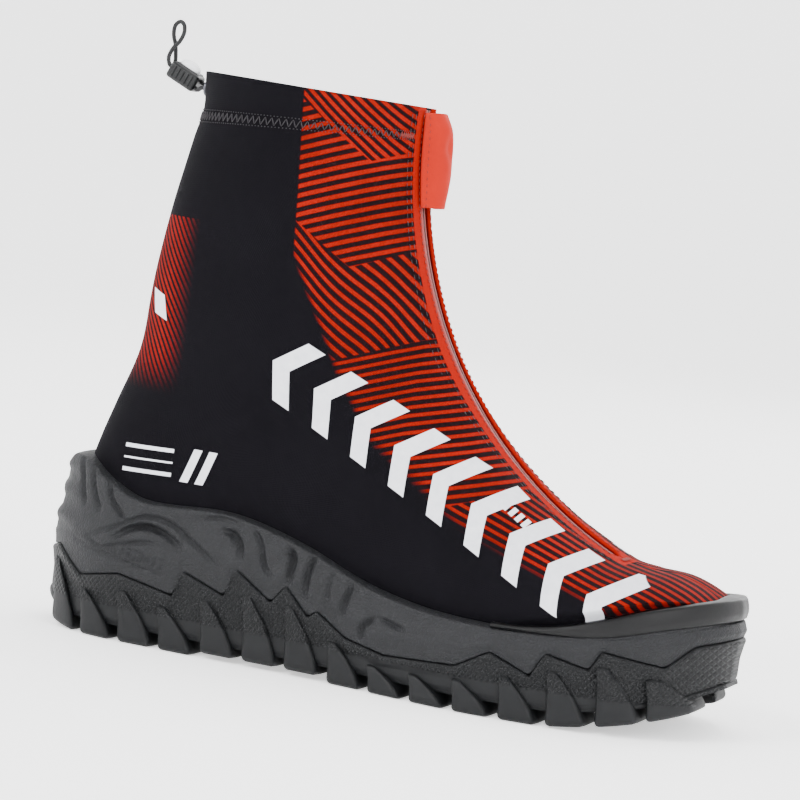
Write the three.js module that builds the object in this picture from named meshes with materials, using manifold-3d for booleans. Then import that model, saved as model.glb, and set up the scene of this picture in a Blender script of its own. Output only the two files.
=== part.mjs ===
// A winter walking and cross country boot for the right foot, in millimetres.
// +X points to the toe, +Z up, and the lateral side is -Y. The origin lies on the ground,
// under the middle of the outsole. A padded inner boot stands inside a softshell gaiter,
// which a long zip opens along an arc in the front.
import * as THREE from "three";
import { LoftGeometry } from "three/addons/geometries/LoftGeometry.js";
import { RoundedBoxGeometry } from "three/addons/geometries/RoundedBoxGeometry.js";
import { mergeVertices } from "three/addons/utils/BufferGeometryUtils.js";
import Module from "manifold-3d";

const wasm = await Module();
wasm.setup();

// ---- driving dimensions ----

const SOLE_LENGTH = 303;
const SOLE_WIDTH = 110;
const SHAFT_HEIGHT = 238; // top edge of the collar above the ground, in the middle
const COLLAR_HALF_WIDTH = 41;
const CLEARANCE = 0.3; // between pieces that touch

const SOFTSHELL = 1.5; // thickness of the gaiter's fabric
const STIFFENER = 1.5; // heel counter, toe puff and lace facings
const LINER = 3; // padding of the inner boot
const TONGUE_THICKNESS = 3.5;
const COLLAR_PAD = 5;
const BOARD_THICKNESS = 2.8;
const FOOTBED_THICKNESS = 4.5;
const FRONT_SPACE = 6.2; // extra room in front of the inner boot, for the zip

const LUG_DEPTH = 6;
const OUTSOLE_FLOOR = 4.5; // thickness above the lugs
const OUTSOLE_WALL = 3.4;
const RAND_THICKNESS = 1.3;
const RAND_HEIGHT = 6;

const ZIP_SLOT_HALF = 5.5;
const ZIP_SLIT_HALF = 0.6; // half the slit between the two tapes
const TAPE_THICKNESS = 0.8;
const TAPE_WIDTH = 9.5;
const CHAIN_WIDTH = 2.2;
const CHAIN_THICKNESS = 1.7;
const ZIP_END_ANGLE = 65;
const SLIDER_ANGLE = 1.8; // its upper end when the zip is closed
const SLIDER_LENGTH = 11;
const PULL_LENGTH = 15;

const HEM_HEIGHT = 15;
const CORD_DIAMETER = 1.8;
const LOCK_LENGTH = 14.3;
const LOCK_DEPTH = 9;
const LOCK_HEIGHT = 7.5;
const BUTTON_TRAVEL = 2.5;

const THROAT_HALF = 17;
const LACE_DIAMETER = 2.2;

// ---- the last: every upper piece is a layer of one surface ----

// The instep, from the collar to the ball, is an arc. Sections are cut by planes that fan out
// from the arc's axis, which runs along Y, and an angle says which: 0 points to the heel side,
// level, and 90 straight down.
const SCALE = SOLE_LENGTH / 303;
const FAN_X = 171 * SCALE;
const FAN_Z = 230 * SCALE;
const INSTEP_RADIUS = 180 * SCALE;
const TIP_ANGLE = 83.2;
const BALL_ANGLE = 68;
const rad = THREE.MathUtils.degToRad;
const deg = THREE.MathUtils.radToDeg;

// A smooth curve through (x, value) points, level past its ends.
function smooth(points) {
  const slope = points.map((p, i) => {
    const before = points[Math.max(i - 1, 0)];
    const after = points[Math.min(i + 1, points.length - 1)];
    return (after[1] - before[1]) / (after[0] - before[0]);
  });
  return (x) => {
    if (x <= points[0][0]) return points[0][1];
    const last = points.length - 1;
    if (x >= points[last][0]) return points[last][1];
    const i = points.findIndex((p) => p[0] > x) - 1;
    const width = points[i + 1][0] - points[i][0];
    const t = (x - points[i][0]) / width;
    const [a, b] = [points[i][1], points[i + 1][1]];
    const [da, db] = [slope[i] * width, slope[i + 1] * width];
    return a + da * t + (3 * (b - a) - 2 * da - db) * t ** 2 + (2 * (a - b) + da + db) * t ** 3;
  };
}

// Straight lines through (x, value) points.
function zigzag(points) {
  return (x) => {
    const i = Math.min(Math.max(points.findIndex((p) => p[0] > x), 1), points.length - 1);
    const t = THREE.MathUtils.clamp((x - points[i - 1][0]) / (points[i][0] - points[i - 1][0]), 0, 1);
    return THREE.MathUtils.lerp(points[i - 1][1], points[i][1], t);
  };
}

const scaled = (points) => points.map(([x, z]) => [x * SCALE, z * SCALE]);

// Distances from the fan's axis, by angle.
const topRadius = smooth([[0, 180], [66, 180], [70, 177.5], [74, 174.5], [78, 175.5], [81, 179], [83.2, 185]]);
const backRadius = smooth([
  [-20, 293], [0.4, 278], [3.9, 281.6], [8.9, 289.5], [13.9, 298.8], [17, 305.3], [20.7, 314.3],
  [24.1, 330], [26.5, 343], [28.5, 353], [30.5, 360], [32.5, 361], [34.4, 352], [37.4, 328],
  [42, 298.5], [49.9, 265.4], [59.7, 239.8], [68.6, 222.3], [75.9, 209.3], [81, 197.5], [83.2, 188],
]);
const footHalfWidth = smooth([
  [0, 41], [10, 39.5], [20, 38], [32, 36.5], [40, 38], [48, 42], [56, 47], [64, 50], [72, 50.5], [83.2, 49],
]);
const frontSquareness = smooth([[0, 2.05], [20, 2.15], [40, 2.3], [60, 2.4], [83.2, 2.3]]);
const backSquareness = smooth([[0, 2.05], [20, 2.2], [30, 2.6], [40, 3.1], [60, 3.4], [83.2, 2.8]]);
const medialShift = (angle) => 6 * THREE.MathUtils.smoothstep(angle, 66, 85);
const frontRoom = smooth([[0, 1], [62, 1], [66, 0.75], [72, 0.2], [76, 0]]);

// The section at an angle, moved inwards by inset, and by front more along the instep.
function section(angle, inset, front = 0) {
  const tip = TIP_ANGLE - deg(inset / (186 * SCALE));
  const past = Math.max(angle - BALL_ANGLE, 0) / (tip - BALL_ANGLE);
  const at = angle <= BALL_ANGLE ? angle : BALL_ANGLE + past * (TIP_ANGLE - BALL_ANGLE);
  const room = front * frontRoom(angle);
  const low = topRadius(at) * SCALE;
  const high = backRadius(at) * SCALE;
  const length = (high - low) / 2;
  const collar = THREE.MathUtils.lerp(COLLAR_HALF_WIDTH - 41, 0, THREE.MathUtils.clamp(angle / 20, 0, 1));
  const foot = footHalfWidth(at) * (SOLE_WIDTH / 110) + collar;
  const width = foot * Math.sqrt(Math.max(1 - past ** 2.4, 0.0025));
  return {
    angle,
    middle: (high + low) / 2,
    width: Math.max(width - inset, width * 0.25),
    front: { length: -Math.max(length - inset - room, length * 0.25), power: frontSquareness(at) },
    back: { length: Math.max(length - inset, length * 0.25), power: backSquareness(at) },
    shift: medialShift(at) * (SOLE_WIDTH / 110),
  };
}

function fanPoint(angle, radius, y) {
  return new THREE.Vector3(
    FAN_X - radius * Math.cos(rad(angle)),
    y,
    FAN_Z - radius * Math.sin(rad(angle)),
  );
}

const power = (value, exponent) => Math.sign(value) * Math.abs(value) ** exponent;

// A point of a layer: turn 0 is the middle of the front, 180 the back, 90 the medial side.
function layerPoint(angle, turn, inset, front) {
  const s = section(angle, inset, front);
  const half = Math.cos(rad(turn)) > 0 ? s.front : s.back;
  const radius = s.middle + half.length * power(Math.abs(Math.cos(rad(turn))), 2 / half.power);
  return fanPoint(angle, radius, s.shift + s.width * power(Math.sin(rad(turn)), 2 / half.power));
}

// A point on the front or the back of a layer, y from its middle.
function facePoint(angle, y, inset, front = 0, face = "front") {
  const s = section(angle, inset, front);
  const { length, power: exponent } = s[face];
  const share = Math.max(1 - Math.abs(y / s.width) ** exponent, 0) ** (1 / exponent);
  return fanPoint(angle, s.middle + length * share, s.shift + y);
}

// The angle of the plane that reaches a height at the middle of the collar.
const angleAtHeight = (z) => -deg(Math.asin((z - FAN_Z) / (229 * SCALE)));
const TOP_ANGLE = angleAtHeight(SHAFT_HEIGHT);

// ---- solids ----

// A closed geometry as a solid, turned to face outwards.
function solid(geometry) {
  const bare = new THREE.BufferGeometry();
  bare.setAttribute("position", geometry.attributes.position);
  bare.setIndex(geometry.index);
  const merged = mergeVertices(bare, 1e-4);
  const vertProperties = new Float32Array(merged.attributes.position.array);
  const triVerts = new Uint32Array(merged.index.array);
  const made = new wasm.Manifold(new wasm.Mesh({ numProp: 3, vertProperties, triVerts }));
  if (made.volume() >= 0) return made;
  for (let i = 0; i < triVerts.length; i += 3) {
    [triVerts[i + 1], triVerts[i + 2]] = [triVerts[i + 2], triVerts[i + 1]];
  }
  return new wasm.Manifold(new wasm.Mesh({ numProp: 3, vertProperties, triVerts }));
}

function geometryOf(shape) {
  const mesh = shape.getMesh();
  const geometry = new THREE.BufferGeometry();
  geometry.setAttribute("position", new THREE.BufferAttribute(new Float32Array(mesh.vertProperties), 3));
  geometry.setIndex(new THREE.BufferAttribute(new Uint32Array(mesh.triVerts), 1));
  geometry.computeVertexNormals();
  return geometry;
}

// A loft through rings, each taken counterclockwise as seen from the last one.
function loft(rings) {
  const turn = new THREE.Vector3();
  const ahead = new THREE.Vector3();
  rings[0].forEach((point, i) => {
    turn.add(new THREE.Vector3().crossVectors(point, rings[0][(i + 1) % rings[0].length]));
    ahead.add(rings[1][i]).sub(point);
  });
  const sections = turn.dot(ahead) < 0 ? rings.map((ring) => [...ring].reverse()) : rings;
  return solid(new LoftGeometry(sections, { capStart: true, capEnd: true }));
}

// Rows of all layers lie at the same angles, and their points at the same turns, closer
// together at the front and the back, so that the facets of two layers stay parallel.
const ROW_STEP = 6;
const TOE_ROWS = 7;
const HALF_TURNS = [8, 17, 27, 38, 52, 68, 88, 108, 128, 147, 162, 172];
const TURNS = [0, ...HALF_TURNS, 180, ...HALF_TURNS.map((turn) => 360 - turn).reverse()];

function rowsBetween(from, to) {
  const rows = [from];
  for (let angle = -42; angle < to - 0.5; angle += ROW_STEP) {
    if (angle > from + 0.5) rows.push(angle);
  }
  return [...rows, to];
}

// Rows from start to the tip of the toe, closer together where the toe closes.
function fanAngles(start, inset) {
  const angles = rowsBetween(start, 60);
  const tip = TIP_ANGLE - deg(inset / (186 * SCALE));
  for (let i = 1; i <= TOE_ROWS; i += 1) {
    angles.push(60 + (tip - 60) * Math.sin(rad((90 * i) / TOE_ROWS)));
  }
  return angles;
}

// Everything inside a layer, from an angle to the toe.
function last(inset, start = TOP_ANGLE, front = 0) {
  return loft(fanAngles(start, inset).map((angle) => TURNS.map((turn) => layerPoint(angle, turn, inset, front))));
}

// A shell between two layers, open at the top.
function shell(outer, inner, start = TOP_ANGLE, front = 0) {
  return last(outer, start, front).subtract(last(inner, start - 3, front));
}

// A block between two fan planes and two distances from the axis.
function fanBlock(from, to, near, far, y0, y1) {
  const steps = Math.max(Math.ceil((to - from) / 4), 1);
  const sections = [];
  for (let i = 0; i <= steps; i += 1) {
    const angle = from + ((to - from) * i) / steps;
    sections.push([
      fanPoint(angle, near, y0),
      fanPoint(angle, far, y0),
      fanPoint(angle, far, y1),
      fanPoint(angle, near, y1),
    ]);
  }
  return loft(sections);
}

// A strip that lies on the front of the boot, between two layers and two widths.
function strip({ from, to, y0, y1, outer, inner, front = 0, columns = 2, face = "front", rows }) {
  const depth = (value, across, along) => (typeof value === "function" ? value(across, along) : value);
  const shares = Array.from({ length: columns + 1 }, (_, j) => j / columns);
  return loft((rows ?? rowsBetween(from, to)).map((angle) => {
    const along = (angle - from) / (to - from);
    const point = (value) => (across) => (
      facePoint(angle, y0 + (y1 - y0) * across, depth(value, across, along), front, face)
    );
    return [...shares.map(point(outer)), ...[...shares].reverse().map(point(inner))];
  }));
}

// A block along X between two heights, each a function of x.
function slab(x0, x1, low, high, y0, y1, steps = 16) {
  const sections = [];
  for (let i = 0; i <= steps; i += 1) {
    const x = x0 + ((x1 - x0) * i) / steps;
    sections.push([
      new THREE.Vector3(x, y0, low(x)),
      new THREE.Vector3(x, y1, low(x)),
      new THREE.Vector3(x, y1, high(x)),
      new THREE.Vector3(x, y0, high(x)),
    ]);
  }
  return loft(sections);
}

// A cord of eight sides along a list of points.
function cord(points, diameter, steps) {
  const outline = new THREE.Shape();
  outline.absarc(0, 0, diameter / 2, 0, 2 * Math.PI);
  const path = new THREE.CatmullRomCurve3(points, false, "centripetal");
  return solid(new THREE.ExtrudeGeometry(outline, { steps, curveSegments: 4, extrudePath: path }));
}

function turned(points, at, direction, segments = 20) {
  const geometry = new THREE.LatheGeometry(points.map(([r, h]) => new THREE.Vector2(r, h)), segments);
  const toAxis = new THREE.Quaternion().setFromUnitVectors(new THREE.Vector3(0, 1, 0), direction);
  return solid(geometry.applyQuaternion(toAxis).translate(at.x, at.y, at.z));
}

const FAR = 400;
const lateralHalf = slab(-FAR, FAR, () => -FAR, () => FAR, -FAR, -CLEARANCE / 2, 1);
const medialHalf = slab(-FAR, FAR, () => -FAR, () => FAR, CLEARANCE / 2, FAR, 1);

// ---- the sole ----

const HALF = SOLE_LENGTH / 2;
const WIDE = SOLE_WIDTH / 2;
const sidePoints = (points) => points.map(([x, y]) => [x * SCALE, (y / 55) * WIDE]);
const lateralSide = smooth(sidePoints([
  [-140, 38], [-112, 41], [-60, 43.5], [-10, 46], [50, 55], [85, 54], [120, 51], [151.5, 44],
]));
const medialSide = smooth(sidePoints([
  [-140, 38], [-112, 40], [-60, 40], [-15, 41], [35, 48.5], [80, 55], [120, 51], [151.5, 44],
]));

// How much of the width is left near the round ends.
function endShare(x) {
  const heel = 52 * SCALE;
  const toe = 62 * SCALE;
  const reach = x < 0 ? (-HALF + heel - x) / heel : (x - HALF + toe) / toe;
  return Math.sqrt(Math.max(1 - Math.max(reach, 0) ** 2.3, 0.02));
}
const endShift = smooth([[60 * SCALE, 0], [HALF, 5]]);
const freeSideY = (x, side) => endShift(x) + side * (side < 0 ? lateralSide(x) : medialSide(x)) * endShare(x);
const widest = (side) => Math.max(...soleStations().map((x) => side * freeSideY(x, side)));
const sideScale = { lateral: WIDE / widest(-1), medial: WIDE / widest(1) };
const sideY = (x, side) => freeSideY(x, side) * (side < 0 ? sideScale.lateral : sideScale.medial);

const rise = smooth(scaled([[-151.5, 8], [-140, 2.5], [-126, 0], [-120, 0], [80, 0], [86, 0], [112, 3.5], [134, 9], [151.5, 16]]));
const spring = (x) => Math.max(rise(x), 0);
const wave = zigzag(scaled([
  [-152, 31], [-141, 34], [-125, 24], [-105, 28], [-79, 23], [-76, 34], [-56, 27], [-52, 39],
  [-35, 28], [-29, 36], [-18, 25], [-14, 28], [0, 19.5], [18, 16], [50, 18], [64, 26], [81, 19],
  [86, 29], [104, 25], [108, 33], [131, 29], [140, 38], [152, 41],
]));
const cupTop = smooth(scaled([
  [-151.5, 36], [-149.5, 46], [-147, 58], [-143.5, 70], [-140, 73.5], [-131, 73], [-114, 65], [-98, 60], [-58, 61], [-25, 53.5], [8, 42], [41, 37],
  [84, 37], [108, 39], [130, 44.5], [151, 49],
]));
const floorZ = (x) => spring(x) + LUG_DEPTH + OUTSOLE_FLOOR;

// Places along the sole, close together at both round ends.
function soleStations() {
  const stations = [];
  for (let i = 1; i <= 8; i += 1) {
    stations.push(-HALF + 52 * SCALE * (1 - Math.cos(rad(10.5 * i))) + 0.2);
  }
  for (let x = -95; x <= 84; x += 7.4) stations.push(x * SCALE);
  for (let i = 9; i >= 1; i -= 1) {
    stations.push(HALF - 62 * SCALE * (1 - Math.cos(rad(9.6 * i))) - 0.2);
  }
  return [-HALF, ...stations, HALF];
}

// A half outline from the bottom to the top, as [inset, height], mirrored across the boot.
function soleSection(x, half) {
  const ring = [];
  for (const side of [-1, 1]) {
    const points = side < 0 ? half : [...half].reverse();
    for (const [inset, z] of points) {
      const edge = sideY(x, side);
      const middle = (sideY(x, -1) + sideY(x, 1)) / 2;
      const room = Math.abs(edge - middle) - 0.4;
      ring.push(new THREE.Vector3(x, edge - side * Math.min(inset, room), z));
    }
  }
  return ring;
}

function outsoleBase() {
  const wallEnd = HALF - OUTSOLE_WALL;
  const stations = [...soleStations(), -wallEnd, -wallEnd + 0.4, wallEnd - 0.4, wallEnd];
  stations.sort((a, b) => a - b);
  return loft(stations.map((x) => {
    const bottom = spring(x) + LUG_DEPTH;
    const hollow = Math.abs(x) < wallEnd - 0.2 ? floorZ(x) : wave(x) - 0.05;
    return soleSection(x, [
      [3, bottom],
      [0.3, bottom + 2],
      [0, wave(x) - 1],
      [0.8, wave(x)],
      [OUTSOLE_WALL, wave(x)],
      [OUTSOLE_WALL, hollow],
    ]);
  }));
}

// One lug: a leaning bar, from y0 near the middle to y1 near the edge.
function lug(x, y0, y1, length, lean) {
  const shape = new THREE.Shape([
    new THREE.Vector2(x - length / 2 + lean, y0),
    new THREE.Vector2(x + length / 2 + lean, y0),
    new THREE.Vector2(x + length / 2 + 1, y1),
    new THREE.Vector2(x - length / 2, y1),
  ]);
  const bottom = spring(x);
  const geometry = new THREE.ExtrudeGeometry(shape, { depth: LUG_DEPTH + 2, bevelEnabled: false });
  return solid(geometry.translate(0, 0, bottom));
}

const HEEL_LUGS = [-132, -113, -94, -75];
const FOREFOOT_LUGS = [2, 21, 40, 59, 78, 97, 116, 134];
const LUG_LENGTH = 12.5;

// The tread stays inside the outline.
function outsole() {
  const around = loft(soleStations().map((x) => soleSection(x, [[1.2, -1], [1.2, wave(x) - 2]])));
  let tread = lug(0, -10, 10, LUG_LENGTH * 0.7, -5);
  for (const place of [...HEEL_LUGS, ...FOREFOOT_LUGS]) {
    const x = place * SCALE;
    for (const side of [-1, 1]) {
      const edge = sideY(x, side) - side * 2.2;
      const inner = sideY(x, side) - side * 22;
      tread = tread.add(lug(x, inner, edge, LUG_LENGTH, place < 0 ? -4 : 4));
    }
  }
  for (const place of FOREFOOT_LUGS.slice(0, 7)) {
    const x = (place + 9.5) * SCALE;
    const middle = (sideY(x, -1) + sideY(x, 1)) / 2;
    tread = tread.add(lug(x, middle - 9, middle + 9, LUG_LENGTH * 0.7, -5));
  }
  for (const place of HEEL_LUGS.slice(1, 3)) {
    const x = (place + 9.5) * SCALE;
    tread = tread.add(lug(x, -7, 7, LUG_LENGTH * 0.7, 4));
  }
  return outsoleBase().add(tread.intersect(around));
}

// The lowest point of the last, by x.
const soleLine = smooth([36.5, 39, 42, 46, 50, 55, 60, 65, 70, 75, 78, 80].map((angle) => {
  const point = facePoint(angle, 0, 0, 0, "back");
  return [point.x, point.z];
}));
const boardTop = (x) => soleLine(x) + SOFTSHELL + CLEARANCE + BOARD_THICKNESS;

const SHANK = { x0: -88 * SCALE, x1: 2 * SCALE, half: 11, thickness: 1.5 };

function midsole() {
  const stations = soleStations();
  const inner = OUTSOLE_WALL + CLEARANCE;
  const coreEnd = HALF - inner;
  stations.push(-coreEnd, -coreEnd + 0.4, coreEnd - 0.4, coreEnd);
  stations.sort((a, b) => a - b);
  const body = loft(stations.map((x) => {
    const seat = wave(x) + CLEARANCE;
    const bottom = Math.abs(x) < coreEnd - 0.2 ? floorZ(x) + CLEARANCE : seat + 0.05;
    return soleSection(x, [
      [inner, bottom],
      [inner, seat],
      [1, seat],
      [0.2, THREE.MathUtils.lerp(seat, cupTop(x), 0.3)],
      [0.8, THREE.MathUtils.lerp(seat, cupTop(x), 0.75)],
      [2.6, cupTop(x)],
    ]);
  }));
  const recess = slab(
    SHANK.x0 - CLEARANCE,
    SHANK.x1 + CLEARANCE,
    (x) => soleLine(x) - SHANK.thickness - 3 * CLEARANCE,
    (x) => soleLine(x) + 3,
    -SHANK.half - CLEARANCE,
    SHANK.half + CLEARANCE,
  );
  return body.subtract(last(-CLEARANCE)).subtract(recess);
}

function shank() {
  const low = (x) => soleLine(x) - SHANK.thickness - 2 * CLEARANCE;
  const high = (x) => soleLine(x) - 2 * CLEARANCE;
  return slab(SHANK.x0, SHANK.x1, low, high, -SHANK.half, SHANK.half);
}

function toeRand() {
  const start = 66 * SCALE;
  const low = (x) => cupTop(x) + CLEARANCE;
  const high = (x) => cupTop(x) + CLEARANCE + RAND_HEIGHT * THREE.MathUtils.smoothstep(x, start - 8, start + 30) + 0.5;
  const band = slab(start, HALF + 2, low, high, -FAR, FAR, 14);
  return shell(-CLEARANCE - RAND_THICKNESS, -CLEARANCE).intersect(band);
}

// ---- inside the gaiter ----

const UNDER = SOFTSHELL + CLEARANCE; // first layer under the gaiter
const LINER_OUT = UNDER + STIFFENER + CLEARANCE;
const LINER_IN = LINER_OUT + LINER;
const INSIDE = LINER_IN + CLEARANCE;
const LINER_TOP_ANGLE = angleAtHeight(SHAFT_HEIGHT - HEM_HEIGHT - 6);
const underBoard = (gap) => slab(-HALF, HALF, () => -FAR, (x) => boardTop(x) + gap, -FAR, FAR, 24);

const lastingBoard = () => last(UNDER).intersect(underBoard(0));

function footbed() {
  const slice = slab(
    -HALF,
    HALF,
    (x) => boardTop(x) + CLEARANCE,
    (x) => boardTop(x) + CLEARANCE + FOOTBED_THICKNESS,
    -FAR,
    FAR,
    24,
  );
  return last(INSIDE).intersect(slice);
}

function heelCounter() {
  const top = (x) => THREE.MathUtils.mapLinear(x, -140 * SCALE, -45 * SCALE, 104 * SCALE, 62 * SCALE);
  const region = slab(-HALF, -48 * SCALE, () => 0, top, -FAR, FAR, 1);
  return shell(UNDER, UNDER + STIFFENER).intersect(region).subtract(underBoard(CLEARANCE));
}

function toePuff() {
  const region = slab(104 * SCALE, HALF, () => 0, () => FAR, -FAR, FAR, 1);
  return shell(UNDER, UNDER + STIFFENER).intersect(region).subtract(underBoard(CLEARANCE));
}

const VAMP_X = 52 * SCALE;
const THROAT_END = 56;
const liner = shell(LINER_OUT, LINER_IN, LINER_TOP_ANGLE, FRONT_SPACE)
  .subtract(underBoard(CLEARANCE))
  .subtract(fanBlock(LINER_TOP_ANGLE - 4, THROAT_END, 100 * SCALE, 226 * SCALE, -THROAT_HALF, THROAT_HALF));
const vampBlock = (x0, x1) => slab(x0, x1, () => -FAR, () => FAR, -FAR, FAR, 1);

const innerVamp = () => liner.intersect(vampBlock(VAMP_X, FAR));
const quarter = (half) => liner.intersect(half).intersect(vampBlock(-FAR, VAMP_X - CLEARANCE));

function innerCollar() {
  const depth = 34 * SCALE;
  const end = LINER_TOP_ANGLE + deg(depth / (230 * SCALE));
  const room = THROAT_HALF + 12;
  return last(INSIDE, LINER_TOP_ANGLE, FRONT_SPACE)
    .subtract(last(INSIDE + COLLAR_PAD, LINER_TOP_ANGLE - 3, FRONT_SPACE))
    .intersect(fanBlock(LINER_TOP_ANGLE - 1, end, 100 * SCALE, 400 * SCALE, -FAR, FAR))
    .subtract(fanBlock(LINER_TOP_ANGLE - 4, end + 4, 100 * SCALE, 230 * SCALE, -room, room));
}

function tongue() {
  return strip({
    from: LINER_TOP_ANGLE - 2.5,
    to: THROAT_END + 2,
    y0: -THROAT_HALF - 6,
    y1: THROAT_HALF + 6,
    outer: INSIDE + 0.2,
    inner: INSIDE + TONGUE_THICKNESS,
    front: FRONT_SPACE,
    columns: 8,
  });
}

const FACING_WIDTH = 12;
function laceFacing(side) {
  return strip({
    from: LINER_TOP_ANGLE + 2,
    to: THROAT_END - 4,
    y0: side * THROAT_HALF,
    y1: side * (THROAT_HALF + FACING_WIDTH),
    outer: UNDER - 0.7,
    inner: UNDER + STIFFENER - 0.7,
    front: FRONT_SPACE,
    columns: 3,
  });
}

// Webbing guides stand alternately on the two edges of the throat, and the lace runs
// through them from side to side, down to its anchor at the vamp.
const GUIDES = 8;
const GUIDE_FIRST = 13;
const GUIDE_STEP = 5.2;
const GUIDE_INNER = THROAT_HALF - 5;
const LACE_LAYER = UNDER + STIFFENER + LACE_DIAMETER / 2 - 0.2;
const GUIDE_WALL = 0.9;
const guideAngle = (i) => GUIDE_FIRST + GUIDE_STEP * i;
const guideSide = (i) => (i % 2 ? 1 : -1);

function laceGuide(i) {
  const side = guideSide(i);
  const reach = LACE_DIAMETER / 2 + CLEARANCE;
  const part = (y0, y1, outer, inner) => strip({
    from: guideAngle(i) - 0.9,
    to: guideAngle(i) + 0.9,
    y0: side * y0,
    y1: side * y1,
    outer,
    inner,
    front: FRONT_SPACE,
    columns: 1,
  });
  const top = LACE_LAYER - reach - GUIDE_WALL;
  const bottom = LACE_LAYER + reach + GUIDE_WALL;
  const end = THROAT_HALF - CLEARANCE;
  return part(GUIDE_INNER, end, top, top + GUIDE_WALL)
    .add(part(GUIDE_INNER, GUIDE_INNER + GUIDE_WALL, top, bottom))
    .add(part(GUIDE_INNER, end, bottom - GUIDE_WALL, bottom));
}

const LACE_LOCK = { angle: 6.8, length: 13, half: 6, depth: 4.2 };
const lockStart = LACE_LOCK.angle - deg(LACE_LOCK.length / 2 / INSTEP_RADIUS);
const lockEnd = LACE_LOCK.angle + deg(LACE_LOCK.length / 2 / INSTEP_RADIUS);

function lace() {
  const inGuide = (GUIDE_INNER + GUIDE_WALL + THROAT_HALF - CLEARANCE) / 2;
  const onLayer = (angle, y) => facePoint(angle, y, LACE_LAYER, FRONT_SPACE);
  const points = [onLayer(lockEnd + 0.35, -3), onLayer(lockEnd + 0.8, -3.5)];
  for (let i = 0; i < GUIDES; i += 1) {
    const y = guideSide(i) * inGuide;
    for (const step of [-1.3, 0, 1.3]) {
      points.push(onLayer(guideAngle(i) + step, y));
    }
    if (i < GUIDES - 1) points.push(onLayer(guideAngle(i + 0.5), 0));
  }
  points.push(onLayer(guideAngle(GUIDES) - 0.6, 0));
  return cord(points, LACE_DIAMETER, 60);
}

const lockNear = INSTEP_RADIUS + FRONT_SPACE + UNDER + 0.6;
const SLOT = { half: 2.6, length: 6 };
const buttonAngle = (length) => deg(length / INSTEP_RADIUS);

function laceLockBody() {
  const slotStart = lockStart + buttonAngle(2.5);
  const slotEnd = slotStart + buttonAngle(SLOT.length + 1.2);
  const body = fanBlock(lockStart, lockEnd, lockNear, lockNear + LACE_LOCK.depth, -LACE_LOCK.half, LACE_LOCK.half);
  return body.subtract(fanBlock(
    slotStart,
    slotEnd,
    lockNear - 1,
    lockNear + 2.4,
    -SLOT.half - CLEARANCE,
    SLOT.half + CLEARANCE,
  ));
}

function laceLockButton() {
  const start = lockStart + buttonAngle(2.5 + CLEARANCE);
  return fanBlock(
    start,
    start + buttonAngle(SLOT.length - 2),
    lockNear - 0.5,
    lockNear + 2.4 - CLEARANCE,
    -SLOT.half,
    SLOT.half,
  );
}

// ---- the gaiter ----

const CORD_EXITS = { lateral: { y: -4, z: 232.5 * SCALE }, medial: { y: 4, z: 235.5 * SCALE } };
const EYELET = { hole: 1.2, barrel: 1.8, flange: 3.1, lip: 0.8 };
const xAxis = new THREE.Vector3(1, 0, 0);

// The back of a layer at a height.
function backAtHeight(z, y, inset) {
  const angle = -deg(Math.asin((z - FAN_Z) / (278 * SCALE)));
  return facePoint(angle, y, inset, 0, "back");
}

function exitPoint(name, inset = 0) {
  const exit = CORD_EXITS[name];
  return backAtHeight(exit.z - 238 * SCALE + SHAFT_HEIGHT, exit.y, inset);
}

function gaiterHalf(half, name) {
  const slot = fanBlock(
    TOP_ANGLE - 4,
    ZIP_END_ANGLE + 0.6,
    150 * SCALE,
    200 * SCALE,
    -ZIP_SLOT_HALF,
    ZIP_SLOT_HALF,
  );
  const radius = EYELET.barrel + CLEARANCE;
  const hole = turned([[0, -6], [radius, -6], [radius, 6], [0, 6]], exitPoint(name), xAxis);
  return shell(0, SOFTSHELL).subtract(slot).intersect(half).subtract(hole);
}

// A lipped ring in the fabric; the cord leaves the hem through it.
function eyelet(name) {
  const { hole, barrel, flange, lip } = EYELET;
  const outside = -CLEARANCE - 0.3;
  return turned(
    [
      [hole, outside - lip],
      [flange, outside - lip],
      [flange, outside],
      [barrel, outside],
      [barrel, SOFTSHELL],
      [hole, SOFTSHELL],
      [hole, outside - lip],
    ],
    exitPoint(name),
    xAxis,
  );
}

// The hem is an inner facing that closes the collar at the top, with the cord inside.
const TUNNEL = CORD_DIAMETER + 2 * CLEARANCE;
const HEM_OUT = UNDER + TUNNEL;
const HEM_FABRIC = 1;
const HEM_END = angleAtHeight(SHAFT_HEIGHT - HEM_HEIGHT);

function collarHem() {
  const capEnd = angleAtHeight(SHAFT_HEIGHT - HEM_FABRIC);
  const band = fanBlock(TOP_ANGLE - 1, HEM_END, 100 * SCALE, 400 * SCALE, -FAR, FAR);
  const front = fanBlock(TOP_ANGLE - 4, HEM_END + 4, 100 * SCALE, 200 * SCALE, -TAPE_WIDTH - 2, TAPE_WIDTH + 2);
  const facing = last(HEM_OUT).subtract(last(HEM_OUT + HEM_FABRIC, TOP_ANGLE - 3));
  const cap = last(UNDER).subtract(last(HEM_OUT + HEM_FABRIC, TOP_ANGLE - 3))
    .intersect(fanBlock(TOP_ANGLE - 1, capEnd, 100 * SCALE, 400 * SCALE, -FAR, FAR));
  return facing.intersect(band).add(cap).subtract(front);
}

const CORD_LAYER = UNDER + TUNNEL / 2;
const CORD_ANCHOR_Y = TAPE_WIDTH + 4;

// Each run starts at its anchor by the zip and follows the hem to the cord's way out.
function drawcordRun(name) {
  const side = name === "lateral" ? -1 : 1;
  const exit = exitPoint(name, CORD_LAYER);
  const exitAngle = deg(Math.asin((FAN_Z - exit.z) / Math.hypot(FAN_X - exit.x, FAN_Z - exit.z)));
  const points = [facePoint(exitAngle, side * CORD_ANCHOR_Y, CORD_LAYER)];
  for (let turn = 36; turn <= 168; turn += 12) {
    points.push(layerPoint(exitAngle, side * turn, CORD_LAYER));
  }
  return cord(points, CORD_DIAMETER, 20);
}

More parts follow.
